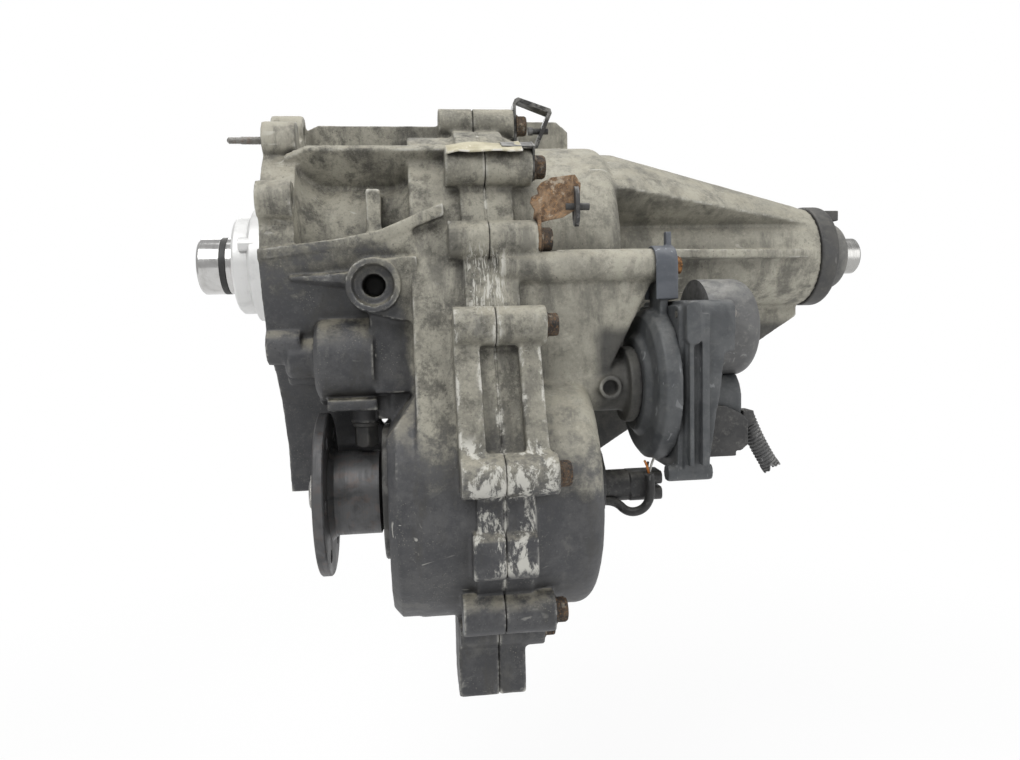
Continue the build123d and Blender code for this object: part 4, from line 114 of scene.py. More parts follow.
class Shader:
    """A small helper that wires one procedural material."""

    def __init__(self, name):
        self.material = bpy.data.materials.new(name)
        self.material.use_nodes = True
        self.tree = self.material.node_tree
        self.surface = self.tree.nodes["Principled BSDF"]
        self.coords = self.tree.nodes.new("ShaderNodeTexCoord").outputs["Object"]

    def link(self, value, socket):
        """Joins an output to a socket, or sets the socket's own value."""
        if isinstance(value, bpy.types.NodeSocket):
            self.tree.links.new(value, socket)
        elif isinstance(value, (tuple, list)) and socket.type == "RGBA":
            socket.default_value = (*value[:3], 1.0)
        else:
            socket.default_value = value

    def noise(self, scale, detail=4.0, rough=0.6, distort=0.0, stretch=None):
        """Fractal noise over the object."""
        node = self.tree.nodes.new("ShaderNodeTexNoise")
        node.inputs["Scale"].default_value = scale
        node.inputs["Detail"].default_value = detail
        node.inputs["Roughness"].default_value = rough
        node.inputs["Distortion"].default_value = distort
        self.link(self.stretched(stretch), node.inputs["Vector"])
        return node.outputs["Fac"]

    def stretched(self, stretch):
        """The object coordinates, scaled unevenly where a stretch is asked for."""
        if stretch is None:
            return self.coords
        node = self.tree.nodes.new("ShaderNodeMapping")
        node.inputs["Scale"].default_value = stretch
        self.link(self.coords, node.inputs["Vector"])
        return node.outputs["Vector"]

    def cells(self, scale):
        """The distance to scattered cell centres."""
        node = self.tree.nodes.new("ShaderNodeTexVoronoi")
        node.inputs["Scale"].default_value = scale
        self.link(self.coords, node.inputs["Vector"])
        return node.outputs["Distance"]

    def band(self, value, low, high, low_out=0.0, high_out=1.0):
        """Maps a value's range to another, smoothly and clamped."""
        node = self.tree.nodes.new("ShaderNodeMapRange")
        node.interpolation_type = "SMOOTHSTEP"
        self.link(value, node.inputs["Value"])
        limits = {"From Min": low, "From Max": high, "To Min": low_out, "To Max": high_out}
        for name, number in limits.items():
            node.inputs[name].default_value = number
        return node.outputs["Result"]

    def within(self, value, low, high):
        """High between two soft limits, each a pair of values."""
        return self.times(self.band(value, *low), self.band(value, *high, 1.0, 0.0))

    def times(self, a, b):
        """The product of two values."""
        return self.math("MULTIPLY", a, b)

    def math(self, operation, a, b=0.0):
        """A sum, product or the like of two values, each a socket or a number."""
        node = self.tree.nodes.new("ShaderNodeMath")
        node.operation = operation
        self.link(a, node.inputs[0])
        self.link(b, node.inputs[1])
        return node.outputs[0]

    def mix(self, share, a, b):
        """One colour laid over another by a share."""
        node = self.tree.nodes.new("ShaderNodeMix")
        node.data_type = "RGBA"
        self.link(share, node.inputs["Factor"])
        self.link(a, node.inputs["A"])
        self.link(b, node.inputs["B"])
        return node.outputs["Result"]

    def axis(self, name):
        """One of the object's own coordinates, in metres."""
        node = self.tree.nodes.new("ShaderNodeSeparateXYZ")
        self.link(self.coords, node.inputs[0])
        return node.outputs[name]

    def facing(self):
        """How far a surface faces up, in the row's frame."""
        geometry = self.tree.nodes.new("ShaderNodeNewGeometry")
        node = self.tree.nodes.new("ShaderNodeSeparateXYZ")
        self.link(geometry.outputs["Normal"], node.inputs[0])
        return node.outputs["Z"]

    def edge(self, low=0.52, high=0.6):
        """High on convex edges, from the mesh's own pointiness."""
        geometry = self.tree.nodes.new("ShaderNodeNewGeometry")
        return self.band(geometry.outputs["Pointiness"], low, high)

    def crevice(self, reach=0.012):
        """High in corners and under overhangs, where the materials darken as painted shade."""
        node = self.tree.nodes.new("ShaderNodeAmbientOcclusion")
        node.samples = 4
        node.inputs["Distance"].default_value = reach
        return self.band(node.outputs["AO"], 0.25, 0.95, 1.0, 0.0)

    def bump(self, heights, bevel=0.0):
        """Stacks height fields given as (value, strength, distance)."""
        normal = None
        if bevel:
            node = self.tree.nodes.new("ShaderNodeBevel")
            node.samples = 4
            node.inputs["Radius"].default_value = bevel
            normal = node.outputs["Normal"]
        for value, strength, distance in heights:
            node = self.tree.nodes.new("ShaderNodeBump")
            node.inputs["Strength"].default_value = strength
            node.inputs["Distance"].default_value = distance
            self.link(value, node.inputs["Height"])
            if normal is not None:
                self.link(normal, node.inputs["Normal"])
            normal = node.outputs["Normal"]
        if normal is not None:
            self.link(normal, self.surface.inputs["Normal"])

    def set(self, **values):
        """Sets the main shader's sockets by name."""
        for name, value in values.items():
            self.link(value, self.surface.inputs[name.replace("_", " ")])
        return self.material


def casting():
    """Weathered cast aluminium: olive-grey above, oily charcoal below, dust, grit and scraped edges."""
    s = Shader("cast_aluminium")
    x, y, z = s.axis("X"), s.axis("Y"), s.axis("Z")
    broad = s.noise(14, 6, 0.6, 0.4)
    blotch = s.noise(52, 10, 0.74, 0.15)
    patch = s.noise(31, 11, 0.78, 0.25)
    fine = s.noise(480, 6, 0.75)

    # Dry metal: paler on the rear half and on the flange's upper rim, which has been wiped
    light = s.mix(s.band(broad, 0.38, 0.62), CAST["olive"], CAST["pale"])
    light = s.mix(s.times(s.band(blotch, 0.47, 0.62), 0.85), light, CAST["stain"])
    light = s.mix(s.times(s.band(patch, 0.56, 0.66), 0.55), light, CAST["chalk"])
    light = s.mix(s.times(s.band(fine, 0.52, 0.66), 0.45), light, CAST["speck"])
    light = s.mix(s.times(s.band(fine, 0.36, 0.46, 1.0, 0.0), 0.45), light, CAST["pore"])
    rim = s.times(s.band(x, *FLANGE_X, 1.0, 0.0), s.band(z, *WIPED_Z))
    light = s.mix(s.times(rim, 0.7), light, CAST["wiped"])
    light = s.mix(s.band(x, *REAR_HALF_X, 0.0, 0.27), light, CAST["rear"])

    # Oily metal below a line that is high on the front half and low behind the ledge
    oily = s.mix(s.band(blotch, 0.40, 0.65), CAST["oil"], CAST["thin_oil"])
    oily = s.mix(s.times(s.band(fine, 0.55, 0.72), 0.45), oily, CAST["oily_speck"])
    oily = s.mix(s.times(s.band(patch, 0.55, 0.64), 0.40), oily, CAST["oily_patch"])
    line = s.math("ADD", s.band(x, *OIL_LINE_X, *OIL_LINE_Z), s.band(x, *TAIL_LINE_X, 0.0, TAIL_LINE_DROP))
    depth = s.math("SUBTRACT", line, z)
    depth = s.math("ADD", depth, s.times(s.math("SUBTRACT", blotch, 0.5), 0.14))
    colour = s.mix(s.band(depth, -0.022, 0.03), light, oily)

    # Oil runs that darken some of the upper flanks
    runs = s.times(s.band(s.noise(20, 9, 0.72, 0.3, (1.5, 1.5, 0.35)), 0.50, 0.62), 0.62)
    runs = s.times(runs, s.band(x, *REAR_HALF_X, 1.0, 0.72))
    colour = s.mix(runs, colour, CAST["run"])

    # Painted shade and grime in the corners, then dust on what faces up, grit and pits all over
    colour = s.mix(s.times(s.crevice(0.016), 0.85), colour, CAST["grime_and_shade"])
    dusty = s.times(s.band(s.facing(), 0.25, 0.85), s.band(s.noise(60, 6, 0.7), 0.38, 0.62))
    colour = s.mix(s.times(dusty, 0.6), colour, CAST["dust"])
    grit = s.times(s.band(s.cells(520), 0.0, 0.28, 1.0, 0.0), s.band(s.noise(38, 3), 0.48, 0.68))
    colour = s.mix(s.times(grit, 0.5), colour, CAST["grit"])
    pits = s.times(s.band(s.cells(300), 0.0, 0.22, 1.0, 0.0), s.band(s.noise(25, 3), 0.5, 0.62))
    colour = s.mix(s.times(pits, 0.75), colour, CAST["pit"])

    # Bare metal on worn edges, in a few long scratches and in scrapes beside the parting line
    worn = s.times(s.edge(0.515, 0.57), s.band(s.noise(70, 5, 0.7), 0.46, 0.62))
    long_marks = s.band(s.noise(55, 2, 0.5, 2.0, (0.4, 3.0, 1.0)), 0.655, 0.70)
    scratch = s.times(long_marks, s.band(s.noise(18, 2), 0.56, 0.66))
    streaks = s.band(s.noise(150, 4, 0.7, 0.8, (2.6, 1.0, 0.35)), 0.50, 0.60)
    scrape = s.times(s.times(s.within(x, *SCRAPE_X), s.within(z, *SCRAPE_Z)), streaks)

    # The pad and the lug on the near side are rubbed bright
    rubbed = s.times(s.band(y, *PAD_BACK_Y, 1.0, 0.0), s.band(z, *PAD_FOOT_Z))
    rubbed = s.times(rubbed, s.band(s.noise(85, 7, 0.75, 0.4, (1.0, 1.0, 0.5)), 0.50, 0.58))
    rubbed = s.times(rubbed, s.math("MAXIMUM", s.edge(0.500, 0.53), s.band(y, *PAD_FACE_Y)))
    rubbed = s.times(rubbed, s.within(x, *PAD_X))
    bare = s.math("MAXIMUM", s.times(worn, 0.75), s.times(scratch, 0.6))
    bare = s.math("MAXIMUM", bare, s.times(s.math("MAXIMUM", scrape, rubbed), 0.85))
    colour = s.mix(bare, colour, CAST["bare"])

    # Painted shade darkens the boss of the shift shaft, which stands under the web and is soaked in oil
    shade = s.times(s.band(x, *SHADED_X), s.band(z, *SHADED_Z, 1.0, 0.0))
    colour = s.mix(s.times(shade, 0.85), colour, CAST["shade"])
    s.bump([
        (s.noise(900, 3, 0.7), 0.35, 0.0003),
        (s.noise(190, 5, 0.7), 0.4, 0.0006),
        (pits, 0.5, -0.0005),
    ])
    rough = s.band(blotch, 0.3, 0.7, 0.56, 0.85)
    rough = s.math("SUBTRACT", rough, s.times(s.band(depth, -0.02, 0.03), 0.16))
    return s.set(Base_Color=colour, Metallic=0.12, Roughness=rough)


def steel(name, base, dark, rough=(0.25, 0.45), metallic=1.0, stain=0.3, ring=False, bevel=0.0006, rust=0.0):
    """Machined or drawn steel with turning marks, stains and light rust."""
    s = Shader(name)
    blotch = s.noise(60, 6, 0.6, 0.6)
    colour = s.mix(s.times(s.band(blotch, 0.45, 0.7), stain), base, dark)
    if rust:
        spots = s.times(s.band(s.noise(130, 8, 0.7), 0.5, 0.62), rust)
        colour = s.mix(spots, colour, RUST_SPOT)
        metallic = s.math("SUBTRACT", metallic, s.times(spots, 0.8 * metallic))
    marks = s.noise(1, 5, 0.7, 0.0, (1500, 30, 30) if ring else (200, 200, 900))
    # Painted shade: darker in corners and under overhangs
    colour = s.mix(s.times(s.crevice(0.006), 0.6), colour, tuple(c * 0.3 for c in dark))
    s.bump([(marks, 0.10, 0.0001), (blotch, 0.1, 0.0002)], bevel)
    return s.set(Base_Color=colour, Metallic=metallic, Roughness=s.band(marks, 0.3, 0.7, *rough))


def rusted(name, base, orange, dark, dust=0.3):
    """Rusted steel: layered brown and orange with pits."""
    s = Shader(name)
    broad = s.noise(90, 8, 0.7, 0.8)
    fine = s.noise(700, 6, 0.7)
    colour = s.mix(s.band(broad, 0.42, 0.6), dark, base)
    colour = s.mix(s.times(s.band(fine, 0.48, 0.68), 0.8), colour, orange)
    colour = s.mix(s.times(s.band(s.noise(160, 5), 0.56, 0.66), dust), colour, PALE_DUST)
    # Painted shade and grime in corners and under overhangs
    colour = s.mix(s.times(s.crevice(0.004), 0.6), colour, RUST_GRIME_AND_SHADE)
    s.bump([(fine, 0.5, 0.0003), (broad, 0.5, 0.0006)], 0.0006)
    return s.set(Base_Color=colour, Metallic=0.2, Roughness=s.band(broad, 0.3, 0.7, 0.95, 0.7))


def plastic(name, base, light, rough=(0.45, 0.7), dust=0.35, dust_colour=(0.30, 0.29, 0.26), grain=1400,
            bevel=0.0006, scuff=0.5):
    """Moulded plastic, rubber or paint with dust above, scuffs and a fine grain."""
    s = Shader(name)
    blotch = s.noise(50, 7, 0.65, 0.6)
    fine = s.noise(grain, 4, 0.6)
    colour = s.mix(s.band(blotch, 0.35, 0.7), base, light)
    up = s.times(s.band(s.facing(), 0.2, 0.9), s.band(s.noise(80, 6, 0.7), 0.35, 0.65))
    colour = s.mix(s.times(up, dust), colour, dust_colour)
    film = s.times(s.band(s.noise(210, 6, 0.75), 0.5, 0.7), dust * 0.5)
    colour = s.mix(film, colour, dust_colour)
    line = s.band(s.noise(90, 2, 0.5, 3.0, (1.0, 1.0, 0.35)), 0.66, 0.69)
    marks = s.times(line, s.band(s.noise(30, 2), 0.5, 0.6))
    rub = s.times(s.edge(0.53, 0.6), s.band(s.noise(120, 4), 0.45, 0.6))
    marks = s.times(s.math("MAXIMUM", marks, rub), scuff)
    colour = s.mix(marks, colour, tuple(min(1.0, c * 3.5 + 0.12) for c in light))
    # Painted shade: darker in corners and under overhangs
    colour = s.mix(s.times(s.crevice(0.006), 0.6), colour, tuple(c * 0.35 for c in base))
    s.bump([(fine, 0.15, 0.0001), (blotch, 0.12, 0.0003)], bevel)
    return s.set(Base_Color=colour, Metallic=0.0, Roughness=s.band(blotch, 0.3, 0.7, *rough))


def machined_aluminium():
    """Clean pale aluminium with fine turning marks and a few grey marks."""
    s = Shader("machined_aluminium")
    blotch = s.noise(70, 6, 0.6)
    marks = s.noise(1, 5, 0.7, 0.0, (1800, 40, 40))
    colour = s.mix(s.times(s.band(blotch, 0.5, 0.7), 0.5), RETAINER_PALE, RETAINER_STAIN)
    # Painted shade and grime in corners and under overhangs
    colour = s.mix(s.times(s.crevice(0.008), 0.5), colour, RETAINER_GRIME_AND_SHADE)
    s.bump([(marks, 0.12, 0.0001), (s.noise(500, 4), 0.12, 0.0002)], 0.0008)
    return s.set(Base_Color=colour, Metallic=0.45, Roughness=s.band(marks, 0.3, 0.7, 0.38, 0.55))


MATERIALS = {
    "cast_aluminium": casting(),
    "machined_aluminium": machined_aluminium(),
    "polished_steel": steel("polished_steel", (0.56, 0.555, 0.545), (0.20, 0.19, 0.17), (0.10, 0.26),
                            ring=True),
    "shaft_steel": steel("shaft_steel", (0.42, 0.415, 0.40), (0.16, 0.15, 0.14), (0.22, 0.4),
                         ring=True),
    "gear_steel": steel("gear_steel", (0.30, 0.29, 0.28), (0.12, 0.11, 0.10), (0.25, 0.4)),
    "bearing_steel": steel("bearing_steel", (0.50, 0.50, 0.50), (0.25, 0.25, 0.25), (0.15, 0.3),
                           ring=True),
    "fastener_steel": steel("fastener_steel", (0.34, 0.33, 0.31), (0.14, 0.13, 0.12), (0.4, 0.6), rust=0.35),
    "rusty_fastener": rusted("rusty_fastener", (0.085, 0.062, 0.043), (0.20, 0.11, 0.05),
                             (0.035, 0.032, 0.03)),
    "orange_rust": rusted("orange_rust", (0.32, 0.15, 0.05), (0.52, 0.25, 0.07), (0.12, 0.06, 0.03), 0.15),
    "rusty_sheet": rusted("rusty_sheet", (0.27, 0.185, 0.115), (0.42, 0.24, 0.11), (0.13, 0.085, 0.055),
                          0.5),
    "black_bracket": plastic("black_bracket", (0.022, 0.022, 0.022), (0.06, 0.058, 0.052), (0.35, 0.6), 0.4),
    "dark_pressed_steel": plastic("dark_pressed_steel", (0.040, 0.040, 0.040), (0.075, 0.073, 0.068),
                                  (0.45, 0.7), 0.28, (0.24, 0.225, 0.19), scuff=0.25),
    "gunmetal": steel("gunmetal", (0.115, 0.115, 0.117), (0.045, 0.045, 0.046), (0.38, 0.6), 0.65, 0.7,
                      ring=True, rust=0.12),
    "bronze": steel("bronze", (0.45, 0.28, 0.12), (0.2, 0.12, 0.06), (0.3, 0.45)),
    "seal_rubber": plastic("seal_rubber", (0.10, 0.10, 0.096), (0.20, 0.195, 0.18), (0.6, 0.85), 0.5,
                           (0.36, 0.345, 0.30), 900),
    "black_rubber": plastic("black_rubber", (0.016, 0.016, 0.016), (0.04, 0.04, 0.039), (0.4, 0.65), 0.3),
    "friction_lining": plastic("friction_lining", (0.14, 0.09, 0.05), (0.2, 0.13, 0.08), (0.8, 0.95), 0.0),
    "cream_plastic": plastic("cream_plastic", (0.42, 0.385, 0.265), (0.58, 0.545, 0.41), (0.6, 0.8),
                             0.6, (0.30, 0.26, 0.16), 1200),
    "black_plastic": plastic("black_plastic", (0.024, 0.024, 0.025), (0.06, 0.059, 0.058), (0.4, 0.65), 0.45),
    "actuator_grey": plastic("actuator_grey", (0.050, 0.054, 0.058), (0.090, 0.094, 0.097), (0.40, 0.64),
                             0.32, (0.24, 0.24, 0.225), scuff=0.25),
    "motor_can": plastic("motor_can", (0.085, 0.085, 0.086), (0.13, 0.13, 0.128), (0.45, 0.68), 0.5,
                         (0.34, 0.335, 0.30), scuff=0.2),
    "strap_plastic": plastic("strap_plastic", (0.070, 0.078, 0.092), (0.105, 0.113, 0.128), (0.38, 0.58),
                             0.2, (0.24, 0.245, 0.25), scuff=0.25),
    "conduit_plastic": plastic("conduit_plastic", (0.05, 0.05, 0.051), (0.11, 0.11, 0.11), (0.5, 0.7), 0.6,
                               (0.30, 0.295, 0.28)),
}


def paint(obj, material):
    """Gives an object one material."""
    obj.data.materials.clear()
    obj.data.materials.append(material)
    return obj


WIRE_COLOURS = {
    "wire_orange": (0.62, 0.20, 0.03),
    "wire_white": (0.66, 0.65, 0.60),
    "wire_black": (0.020, 0.020, 0.022),
}
WIRE_SHADE, WIRE_DUST = 0.7, (0.20, 0.18, 0.15)
for wire_name, wire_colour in WIRE_COLOURS.items():
    shaded = tuple(part * WIRE_SHADE for part in wire_colour)
    MATERIALS[wire_name] = plastic(wire_name, shaded, wire_colour, (0.35, 0.6), 0.3, WIRE_DUST,
                                   2500, 0.0, 0.2)

SLOT_OF = {part["node"]: part["material_slot"] for part in frame["record"]["subparts"]}
BODY_OF = {node: body for body, nodes in frame["record"]["behaviour"]["bodies"].items() for node in nodes}
for node_name, node_object in frame["nodes"].items():
    paint(node_object, MATERIALS[SLOT_OF[node_name]])


def new_object(name, mesh):
    obj = bpy.data.objects.new(name, mesh)
    bpy.context.scene.collection.objects.link(obj)
    return obj


def apply_modifiers(obj):
    """Turns an object's modifiers into its mesh."""
    bpy.context.view_layer.update()
    graph = bpy.context.evaluated_depsgraph_get()
    mesh = bpy.data.meshes.new_from_object(obj.evaluated_get(graph))
    obj.modifiers.clear()
    obj.data = mesh
    return obj


def smooth_shade(obj):
    obj.data.polygons.foreach_set("use_smooth", [True] * len(obj.data.polygons))
    return obj


FINE_WAVE_SHARE, FINE_WAVE_SCALE = 0.5, 3.1


def ripple(mesh, depth, scale):
    """Moves a mesh's points in and out a little, as a rough surface."""
    count = len(mesh.vertices)
    places = np.empty(count * 3, np.float32)
    normals = np.empty(count * 3, np.float32)
    mesh.vertices.foreach_get("co", places)
    mesh.vertices.foreach_get("normal", normals)
    places = places.reshape(-1, 3)
    lift = [noise.noise(place * scale) + FINE_WAVE_SHARE * noise.noise(place * (scale * FINE_WAVE_SCALE))
            for place in (Vector(row) for row in places.tolist())]
    places += normals.reshape(-1, 3) * (np.array(lift, np.float32) * depth)[:, None]
    mesh.vertices.foreach_set("co", places.ravel())
    mesh.update()


AXIS_CLEAR = 1.0


def widen_bore(mesh, centre, bore, opening, start, end):
    """Opens a bore along the shafts, so that a remeshed skin stands clear of the rod that slides in it."""
    for vertex in mesh.vertices:
        along, y, z = vertex.co / MM
        reach = math.hypot(y - centre[0], z - centre[1])
        if start <= along <= end and AXIS_CLEAR < reach <= bore:
            y = centre[0] + (y - centre[0]) * opening / reach
            z = centre[1] + (z - centre[1]) * opening / reach
            vertex.co = Vector((along, y, z)) * MM


SMOOTHING, WAVE_SCALE = 0.5, 60.0


def soft_copy(node, voxel, rounds, wave=0.0, extra=(), bore=None):
    """A node's shape with the soft edges of a casting or moulding, standing for the node."""
    mesh = frame["nodes"][node].data.copy()
    if bore:
        widen_bore(mesh, *bore)
    if extra:
        shape = bmesh.new()
        shape.from_mesh(mesh)
        for start, end, outline in extra:
            prism(shape, start, end, outline)
        shape.to_mesh(mesh)
        shape.free()
    obj = new_object(node + "_skin", mesh)
    remesh = obj.modifiers.new("remesh", "REMESH")
    remesh.mode = "VOXEL"
    remesh.voxel_size = voxel
    smoothing = obj.modifiers.new("smooth", "SMOOTH")
    smoothing.factor = SMOOTHING
    smoothing.iterations = rounds
    apply_modifiers(obj)
    if wave:
        ripple(obj.data, wave, WAVE_SCALE)
    smooth_shade(obj)
    paint(obj, MATERIALS[SLOT_OF[node]])
    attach(obj, BODY_OF[node])
    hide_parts(node)


def arc(centre, radius, start, end, count=24):
    """Points on an arc, as (y, z), from one angle in degrees to another."""
    return [polar(radius, start + (end - start) * step / count, centre) for step in range(count + 1)]


def skin_loops(shape, loops):
    """Joins closed loops of points, one after another, with four-sided faces."""
    count = len(loops[0])
    for low, high in zip(loops, loops[1:]):
        for step in range(count):
            after = (step + 1) % count
            shape.faces.new((low[step], low[after], high[after], high[step]))


def prism(shape, start, end, outline):
    """Adds a closed prism along the shafts between two distances; each end may have its own outline."""
    near, far = outline if isinstance(outline[0][0], tuple) else (outline, outline)
    loops = [[shape.verts.new(Vector((along, y, z)) * MM) for y, z in points]
             for along, points in ((start, near), (end, far))]
    skin_loops(shape, loops)
    shape.faces.new(loops[0][::-1])
    shape.faces.new(loops[1])


def oblong(y_range, z_range):
    """A rectangle's corners, as (y, z)."""
    (left, right), (low, high) = y_range, z_range
    return ((left, low), (left, high), (right, high), (right, low))


# The near side's shift cylinder, open towards the shift shaft
SHIFT_LINE, SHIFT_HOLLOW_R = (-62.0, -79.0), 24.5
CYLINDER_CENTRE, CYLINDER_R, CYLINDER_CHAMFER = (-79.0, -73.5), 31.0, 4
CYLINDER_CAP_X, CYLINDER_X, CYLINDER_END_X = 34.0, 37.5, 76.0
hollow = arc(SHIFT_LINE, SHIFT_HOLLOW_R, 270, 90)
cylinder = arc(CYLINDER_CENTRE, CYLINDER_R, 90, 270) + hollow
cylinder_cap = arc(CYLINDER_CENTRE, CYLINDER_R - CYLINDER_CHAMFER, 90, 270) + hollow

# Its nose, its lip, the rib beside the port and the closed corners under the wall
NOSE_CENTRE, NOSE_R, NOSE_CHAMFER = (-82.0, -72.5), 14.5, 3.0
NOSE_CAP_X, NOSE_X, NOSE_END_X = 12.5, 15.5, 36.0
nose = arc(NOSE_CENTRE, NOSE_R, 90, 270)
nose_cap = arc(NOSE_CENTRE, NOSE_R - NOSE_CHAMFER, 90, 270)
LIP_X, LIP = (42.0, 77.0), oblong((-103, -82), (-110, -102))
PORT_RIB_X = (20.0, 62.0)
PORT_RIB_START = ((-107, -16.5), (-107, -15), (-98, -14), (-98, -19))
PORT_RIB_END = ((-114, -20), (-114, -13), (-98, -12), (-98, -24))
CORNER_X, CORNER = (86.0, 106.0), oblong((-97, -70), (-127, -101.5))
SMALL_CORNER_X, SMALL_CORNER = (77.0, 88.0), oblong((-95, -70), (-117.5, -101.5))
NEAR_FORMS = (
    (CYLINDER_CAP_X, CYLINDER_X, (cylinder_cap, cylinder)),
    (CYLINDER_X, CYLINDER_END_X, cylinder),
    (NOSE_CAP_X, NOSE_X, (nose_cap, nose)),
    (NOSE_X, NOSE_END_X, nose),
    (*LIP_X, LIP),
    (*PORT_RIB_X, (PORT_RIB_START, PORT_RIB_END)),
    (*CORNER_X, CORNER),
    (*SMALL_CORNER_X, SMALL_CORNER),
)
RAIL_BORE = (SHIFT_LINE, 7.2, 9.0, 165.0, 215.0)
CASE_VOXEL = 0.0015
CASE_WAVE = 0.00022
soft_copy("front_case", CASE_VOXEL, 2, CASE_WAVE, NEAR_FORMS)
soft_copy("rear_case", CASE_VOXEL, 2, CASE_WAVE, bore=RAIL_BORE)

BEAD_X, BEAD_HALF_WIDTH = 158.2, 1.2
BEAD_UPPER_R, BEAD_LOWER_R = 104.6, 97.6
BEAD_ROOT, BEAD_SHOULDER, BEAD_CROWN, BEAD_SHOULDER_SHARE = -1.6, -0.2, 0.15, 0.7
BEAD_WAVE, BEAD_WAVE_SCALE, BEAD_WAVE_SEED = 0.35, 0.11, 0.3
LEAST_STEP = 0.01


def joint_bead():
    """A bead of sealant squeezed out along the parting joint, round the bolting rim."""
    tip = math.degrees(math.acos((BEAD_UPPER_R - BEAD_LOWER_R) / CENTRE_DISTANCE))
    line = arc(FRONT_OUT, BEAD_LOWER_R, LEAN - tip, LEAN + tip, 60)
    line += arc((0.0, 0.0), BEAD_UPPER_R, LEAN + tip, LEAN + 360 - tip, 90)
    shape = bmesh.new()
    loops = []
    for (y, z), (after_y, after_z) in zip(line, line[1:] + line[:1]):
        along = Vector((0, after_y - y, after_z - z))
        if along.length < LEAST_STEP:
            continue
        out = Vector((0, along.z, -along.y)).normalized()
        wave = BEAD_WAVE * noise.noise(Vector((y * BEAD_WAVE_SCALE, z * BEAD_WAVE_SCALE, BEAD_WAVE_SEED)))
        section = (
            (-1.0, BEAD_ROOT),
            (-BEAD_SHOULDER_SHARE, BEAD_SHOULDER + wave),
            (0.0, BEAD_CROWN + wave),
            (BEAD_SHOULDER_SHARE, BEAD_SHOULDER + wave),
            (1.0, BEAD_ROOT),
        )
        ring = []
        for share, lift in section:
            spot = Vector((BEAD_X + share * BEAD_HALF_WIDTH, y, z)) + out * lift
            ring.append(shape.verts.new(spot * MM))
        loops.append(ring)
    skin_loops(shape, loops + loops[:1])
    bmesh.ops.recalc_face_normals(shape, faces=shape.faces)
    mesh = bpy.data.meshes.new("joint_bead")
    shape.to_mesh(mesh)
    shape.free()
    obj = new_object("joint_bead", mesh)
    paint(obj, MATERIALS["cast_aluminium"])
    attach(obj, "case")
    smooth_shade(obj)


joint_bead()
soft_copy("actuator_housing", 0.0010, 3)
soft_copy("actuator_cover", 0.0010, 3)
soft_copy("actuator_plug", 0.0007, 3)
soft_copy("output_sensor", 0.0006, 3)
soft_copy("dust_cover", 0.0010, 2, 0.00012)
soft_copy("actuator_strap", 0.0006, 2)


# Turned, threaded and hexagonal pieces
def loft(shape, rings, place, count=72):
    """Adds a closed skin through rings of (distance along the axis, radius at an angle), in millimetres."""
    loops = []
    for along, radius in rings:
        loop = []
        for step in range(count):
            angle = 2 * math.pi * step / count
            reach = radius(angle) if callable(radius) else radius
            point = place @ Vector((along, reach * math.cos(angle), reach * math.sin(angle)))
            loop.append(shape.verts.new(point * MM))
        loops.append(loop)
    skin_loops(shape, loops)
    shape.faces.new(loops[0][::-1])
    shape.faces.new(loops[-1])


def hexagon(across_flats, turn, limit):
    """A hexagon's radius at an angle, no more than a limit that rounds its corners off."""
    def radius(angle):
        step = (angle + turn) % (math.pi / 3) - math.pi / 6
        return min(across_flats / 2 / math.cos(step), limit)
    return radius


# Rings of a head and its washer: how far from the foot or the top, and how far in from the full radius
WASHER_FOOT, WASHER_TOP = ((0.0, 0.2), (0.3, 0.0)), ((-0.5, 0.3), (0.1, 1.2))
HEAD_FOOT, HEAD_SIDE = ((-0.1, 0.5), (0.3, 0.2)), ((-1.9, 0.2), (-0.9, 0.8))
HEAD_CHAMFER, HEAD_DISH = (-0.3, 0.05), ((0.0, 0.9), (-0.15, 1.6), (-0.35, 3.2))


def hex_head(shape, place, start, across_flats, height, turn=0.0, washer=None):
    """Adds a chamfered hex head that stands on a washer face."""
    corner, flat = across_flats / math.sqrt(3), across_flats / 2
    if washer:
        radius, thick = washer
        rings = [(start + rise, radius - inset) for rise, inset in WASHER_FOOT]
        rings += [(start + thick + rise, radius - inset) for rise, inset in WASHER_TOP]
        loft(shape, rings, place)
        start += thick
    top = start + height
    rings = [(start + rise, hexagon(across_flats, turn, corner - inset)) for rise, inset in HEAD_FOOT]
    rings += [(top + rise, hexagon(across_flats, turn, corner - inset)) for rise, inset in HEAD_SIDE]
    rise, inset = HEAD_CHAMFER
    rings.append((top + rise, hexagon(across_flats, turn, flat - inset)))
    rings += [(top + rise, flat - inset) for rise, inset in HEAD_DISH]
    loft(shape, rings, place)


def dress(name, shape, node):
    """Turns a bmesh into the piece that stands for a CAD node."""
    mesh = bpy.data.meshes.new(name)
    bmesh.ops.recalc_face_normals(shape, faces=shape.faces)
    shape.to_mesh(mesh)
    shape.free()
    obj = new_object(name, mesh)
    paint(obj, MATERIALS[SLOT_OF[node]])
    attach(obj, BODY_OF[node])
    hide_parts(node)
    return obj


def along_x(y, z):
    """The place of a piece whose axis runs rearward through (y, z)."""
    return Matrix.Translation((0, y, z))


# Case bolts, with a chamfer at the thread's end
BOLT_THREAD_X, BOLT_SHANK_R, BOLT_CHAMFER = 136.0, 4.95, (1, 4.0)
BOLT_HEAD, BOLT_WASHER, BOLT_TURN = (15.0, 7.0), (9.5, 1.8), 17
bolts = bmesh.new()
for number, (bolt_y, bolt_z) in enumerate(case_bolt_places()):
    seat = SEAT_X + FOOT_PLATES.get(number, 0.0)
    chamfer, tip_r = BOLT_CHAMFER
    shank = [(BOLT_THREAD_X, tip_r), (BOLT_THREAD_X + chamfer, BOLT_SHANK_R), (seat, BOLT_SHANK_R)]
    loft(bolts, shank, along_x(bolt_y, bolt_z), 36)
    hex_head(bolts, along_x(bolt_y, bolt_z), seat, *BOLT_HEAD, math.radians(BOLT_TURN * number), BOLT_WASHER)
dress("case_bolts_turned", bolts, "case_bolts")

